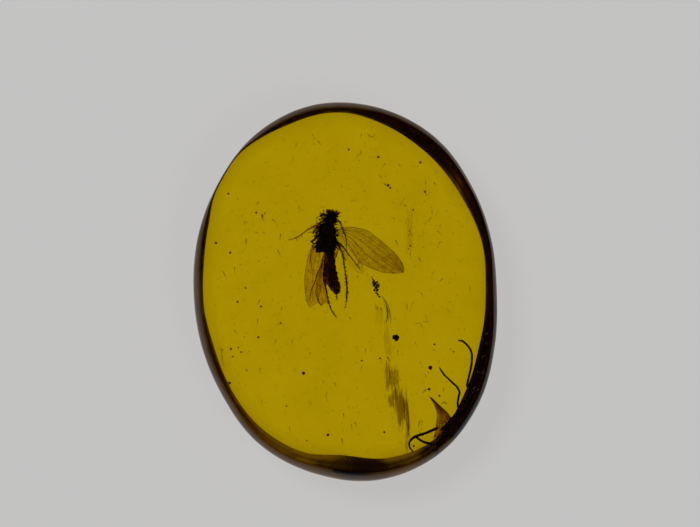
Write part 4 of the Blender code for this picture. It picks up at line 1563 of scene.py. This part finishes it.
class AMBER_OT_specks(bpy.types.Operator):
    """Makes the specks, dust and fibres in the resin, and the small pits over the rim"""
    bl_idname = "amber.make_specks"
    bl_label = "Specks, fibres and pits"

    def execute(self, context):
        settings = context.scene.amber_specks
        rng = np.random.default_rng(settings.seed)
        self.specks(rng)
        self.dust(settings.dust_count, rng)
        finish = tinted_film("resin fibre", RESIN_FIBRE)
        self.fibres(finish)
        self.fine_hairs(settings.hair_count, finish, rng)
        self.pits(rng)
        return {"FINISHED"}

    def specks(self, rng):
        """Dark lumps of mould, each a turned and flattened copy of one."""
        pattern = draw_ball("speck", (0, 0, 0), 1.0 / MM, cuts=2)
        for vert in pattern.data.vertices:
            vert.co *= 1.0 + 0.35 * noise.noise(vert.co * 1.7)
        places = []
        for x, y, radius in SPECKS:
            height = MIDDLE + 0.3 * math.sin(7 * x + 3 * y)
            places.append(self.speck_place((x, y, height), radius, rng))
        specks = copies("resin_specks", pattern, places)
        finish_piece(specks, tinted_film("wood mould", WOOD_MOULD), "debris")

    def dust(self, count, rng):
        """Fine grains all through the resin."""
        grain = draw_ball("grain", (0, 0, 0), 1.0 / MM, cuts=1)
        places = []
        for _ in range(count):
            spot = scatter(rng, *DUST_REACH)
            places.append(self.speck_place(spot, float(rng.uniform(*DUST_RADII)), rng))
        dust = copies("resin_dust", grain, places)
        finish_piece(dust, tinted_film("resin dust", RESIN_DUST), "debris")

    def speck_place(self, spot, radius, rng):
        """The matrix that turns, flattens and places a ball of unit radius."""
        turn = Matrix.Rotation(float(rng.uniform(0, 6.28)), 4, "Z")
        wide = radius * MM
        size = Matrix.Diagonal((wide, wide * float(rng.uniform(0.75, 1.0)), wide * 0.7, 1.0))
        return Matrix.Translation(Vector(spot) * MM) @ turn @ size

    def fibres(self, finish):
        """Fine strands that narrow at both ends."""
        strands = []
        for height, radius, points in FIBRES:
            path = [Vector((x, y, MIDDLE + height, radius, radius)) * MM for x, y in points]
            path[0][3] *= 0.5
            path[-1][3] *= 0.4
            strands.append(draw_tube("fibre", smooth_path(path, steps=5), sides=6))
        finish_piece(join("resin_fibres", strands), finish, "fibre")

    def fine_hairs(self, count, finish, rng):
        """Loose hairs all through the resin, which lie roughly along it."""
        places = []
        for _ in range(count):
            spot = scatter(rng, *FINE_HAIR_REACH) * MM
            lean = Vector(rng.normal(0, 1, 3).tolist())
            direction = Vector((float(rng.normal(0, 0.5)), 1.0, float(rng.normal(0, 0.2))))
            length = float(rng.uniform(0.12, 0.42)) * MM
            places.append(hair_place(spot, direction, lean, length, FINE_HAIR_RADIUS * MM))
        finish_piece(copies("resin_hairs", bent_hair(8.0), places), finish, "fibre")

    def pits(self, rng):
        """Each pit shows as a broken ring of powder just under the polished face."""
        arcs = []
        for x, y, radius in PITS:
            start = float(rng.uniform(0.0, 6.28))
            stations = []
            for step in range(9):
                turn = start + 0.55 * step
                reach = radius * float(rng.uniform(0.8, 1.15))
                width = float(rng.uniform(0.008, 0.030))
                stations.append((x + reach * math.cos(turn), y + reach * math.sin(turn),
                                 MIDDLE - PIT_DEPTH, width, 0.5 * width))
            arcs.append(draw_tube("pit", strand_path(stations, steps=3), sides=6))
        finish_piece(join("pit_rings", arcs), pit_filling(), "amber")


class AMBER_OT_stage(bpy.types.Operator):
    """Makes the pale lit floor, the soft lights, the surroundings and the camera"""
    bl_idname = "amber.make_stage"
    bl_label = "Stage"

    def execute(self, context):
        settings = context.scene.amber_stage
        start_piece()
        bpy.ops.mesh.primitive_plane_add(size=4.0, location=(0, 0, 0))
        floor = context.object
        floor.name = "floor"
        for vert in floor.data.vertices:
            vert.co.z -= FLOOR_GAP * MM
        floor.data.materials.append(floor_finish(settings))
        self.surroundings(context.scene)
        self.soft_light("key_light", KEY_PLACE, settings.key_power)
        self.soft_light("fill_light", FILL_PLACE, settings.fill_power)
        self.camera(context.scene, settings)
        return {"FINISHED"}

    def surroundings(self, scene):
        """A room that is pale near the floor and dark overhead, so the top face stays clear."""
        world = bpy.data.worlds.new("room")
        world.use_nodes = True
        scene.world = world
        tree = world.node_tree
        direction = add_node(tree, "ShaderNodeTexCoord", {})
        height = add_node(
            tree, "ShaderNodeSeparateXYZ", {"Vector": direction.outputs["Generated"]})
        fill(tree, tree.nodes["Background"], {
            "Color": ROOM_COLOUR,
            "Strength": ranged(tree, height.outputs["Z"], *ROOM_HEIGHTS, *ROOM_STRENGTHS)})

    def soft_light(self, name, place, power):
        """A square light that faces the slab."""
        start_piece()
        bpy.ops.object.light_add(type="AREA", location=place)
        light = bpy.context.object
        light.name = name
        light.rotation_euler = (-Vector(place)).to_track_quat("-Z", "Y").to_euler()
        light.data.energy = power
        light.data.size = LIGHT_SIZE

    def camera(self, scene, settings):
        """Looks straight down, with +Y up in the picture."""
        start_piece()
        bpy.ops.object.camera_add(
            location=(settings.aim_x, settings.aim_y, settings.camera_height), rotation=(0, 0, 0))
        camera = bpy.context.object
        camera.name = "camera"
        distance = settings.camera_height - THICKNESS * MM
        camera.data.lens = camera.data.sensor_width * distance / settings.picture_width
        camera.data.clip_start = 0.01
        camera.data.clip_end = 10.0
        scene.camera = camera
        scene.view_settings.view_transform = "Standard"
        scene.cycles.max_bounces = 24
        scene.cycles.transmission_bounces = 24
        scene.cycles.glossy_bounces = 12
        scene.cycles.transparent_max_bounces = 32


OPERATORS = (
    AMBER_OT_slab,
    AMBER_OT_insect_body,
    AMBER_OT_insect_wings,
    AMBER_OT_insect_veins,
    AMBER_OT_insect_hair,
    AMBER_OT_rim_fly,
    AMBER_OT_debris,
    AMBER_OT_specks,
    AMBER_OT_stage,
)
GROUPS = {
    "amber_slab": SlabSettings,
    "amber_insect": InsectSettings,
    "amber_specks": SpeckSettings,
    "amber_stage": StageSettings,
}


class VIEW3D_PT_amber(bpy.types.Panel):
    """Lists the pieces and their settings"""
    bl_label = "Insect in amber"
    bl_space_type = "VIEW_3D"
    bl_region_type = "UI"
    bl_category = "Amber"

    def draw(self, context):
        layout = self.layout
        for name, group in GROUPS.items():
            box = layout.box()
            for setting in group.__annotations__:
                box.prop(getattr(context.scene, name), setting)
        for operator in OPERATORS:
            layout.operator(operator.bl_idname)


def register():
    for kind in (*GROUPS.values(), *OPERATORS, VIEW3D_PT_amber):
        bpy.utils.register_class(kind)
    for name, group in GROUPS.items():
        setattr(bpy.types.Scene, name, bpy.props.PointerProperty(type=group))


def unregister():
    for name in GROUPS:
        delattr(bpy.types.Scene, name)
    for kind in reversed((*GROUPS.values(), *OPERATORS, VIEW3D_PT_amber)):
        bpy.utils.unregister_class(kind)


def main():
    register()
    for operator in OPERATORS:
        group, name = operator.bl_idname.split(".")
        getattr(getattr(bpy.ops, group), name)()
    start_piece()
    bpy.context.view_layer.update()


if __name__ == "__main__":
    main()
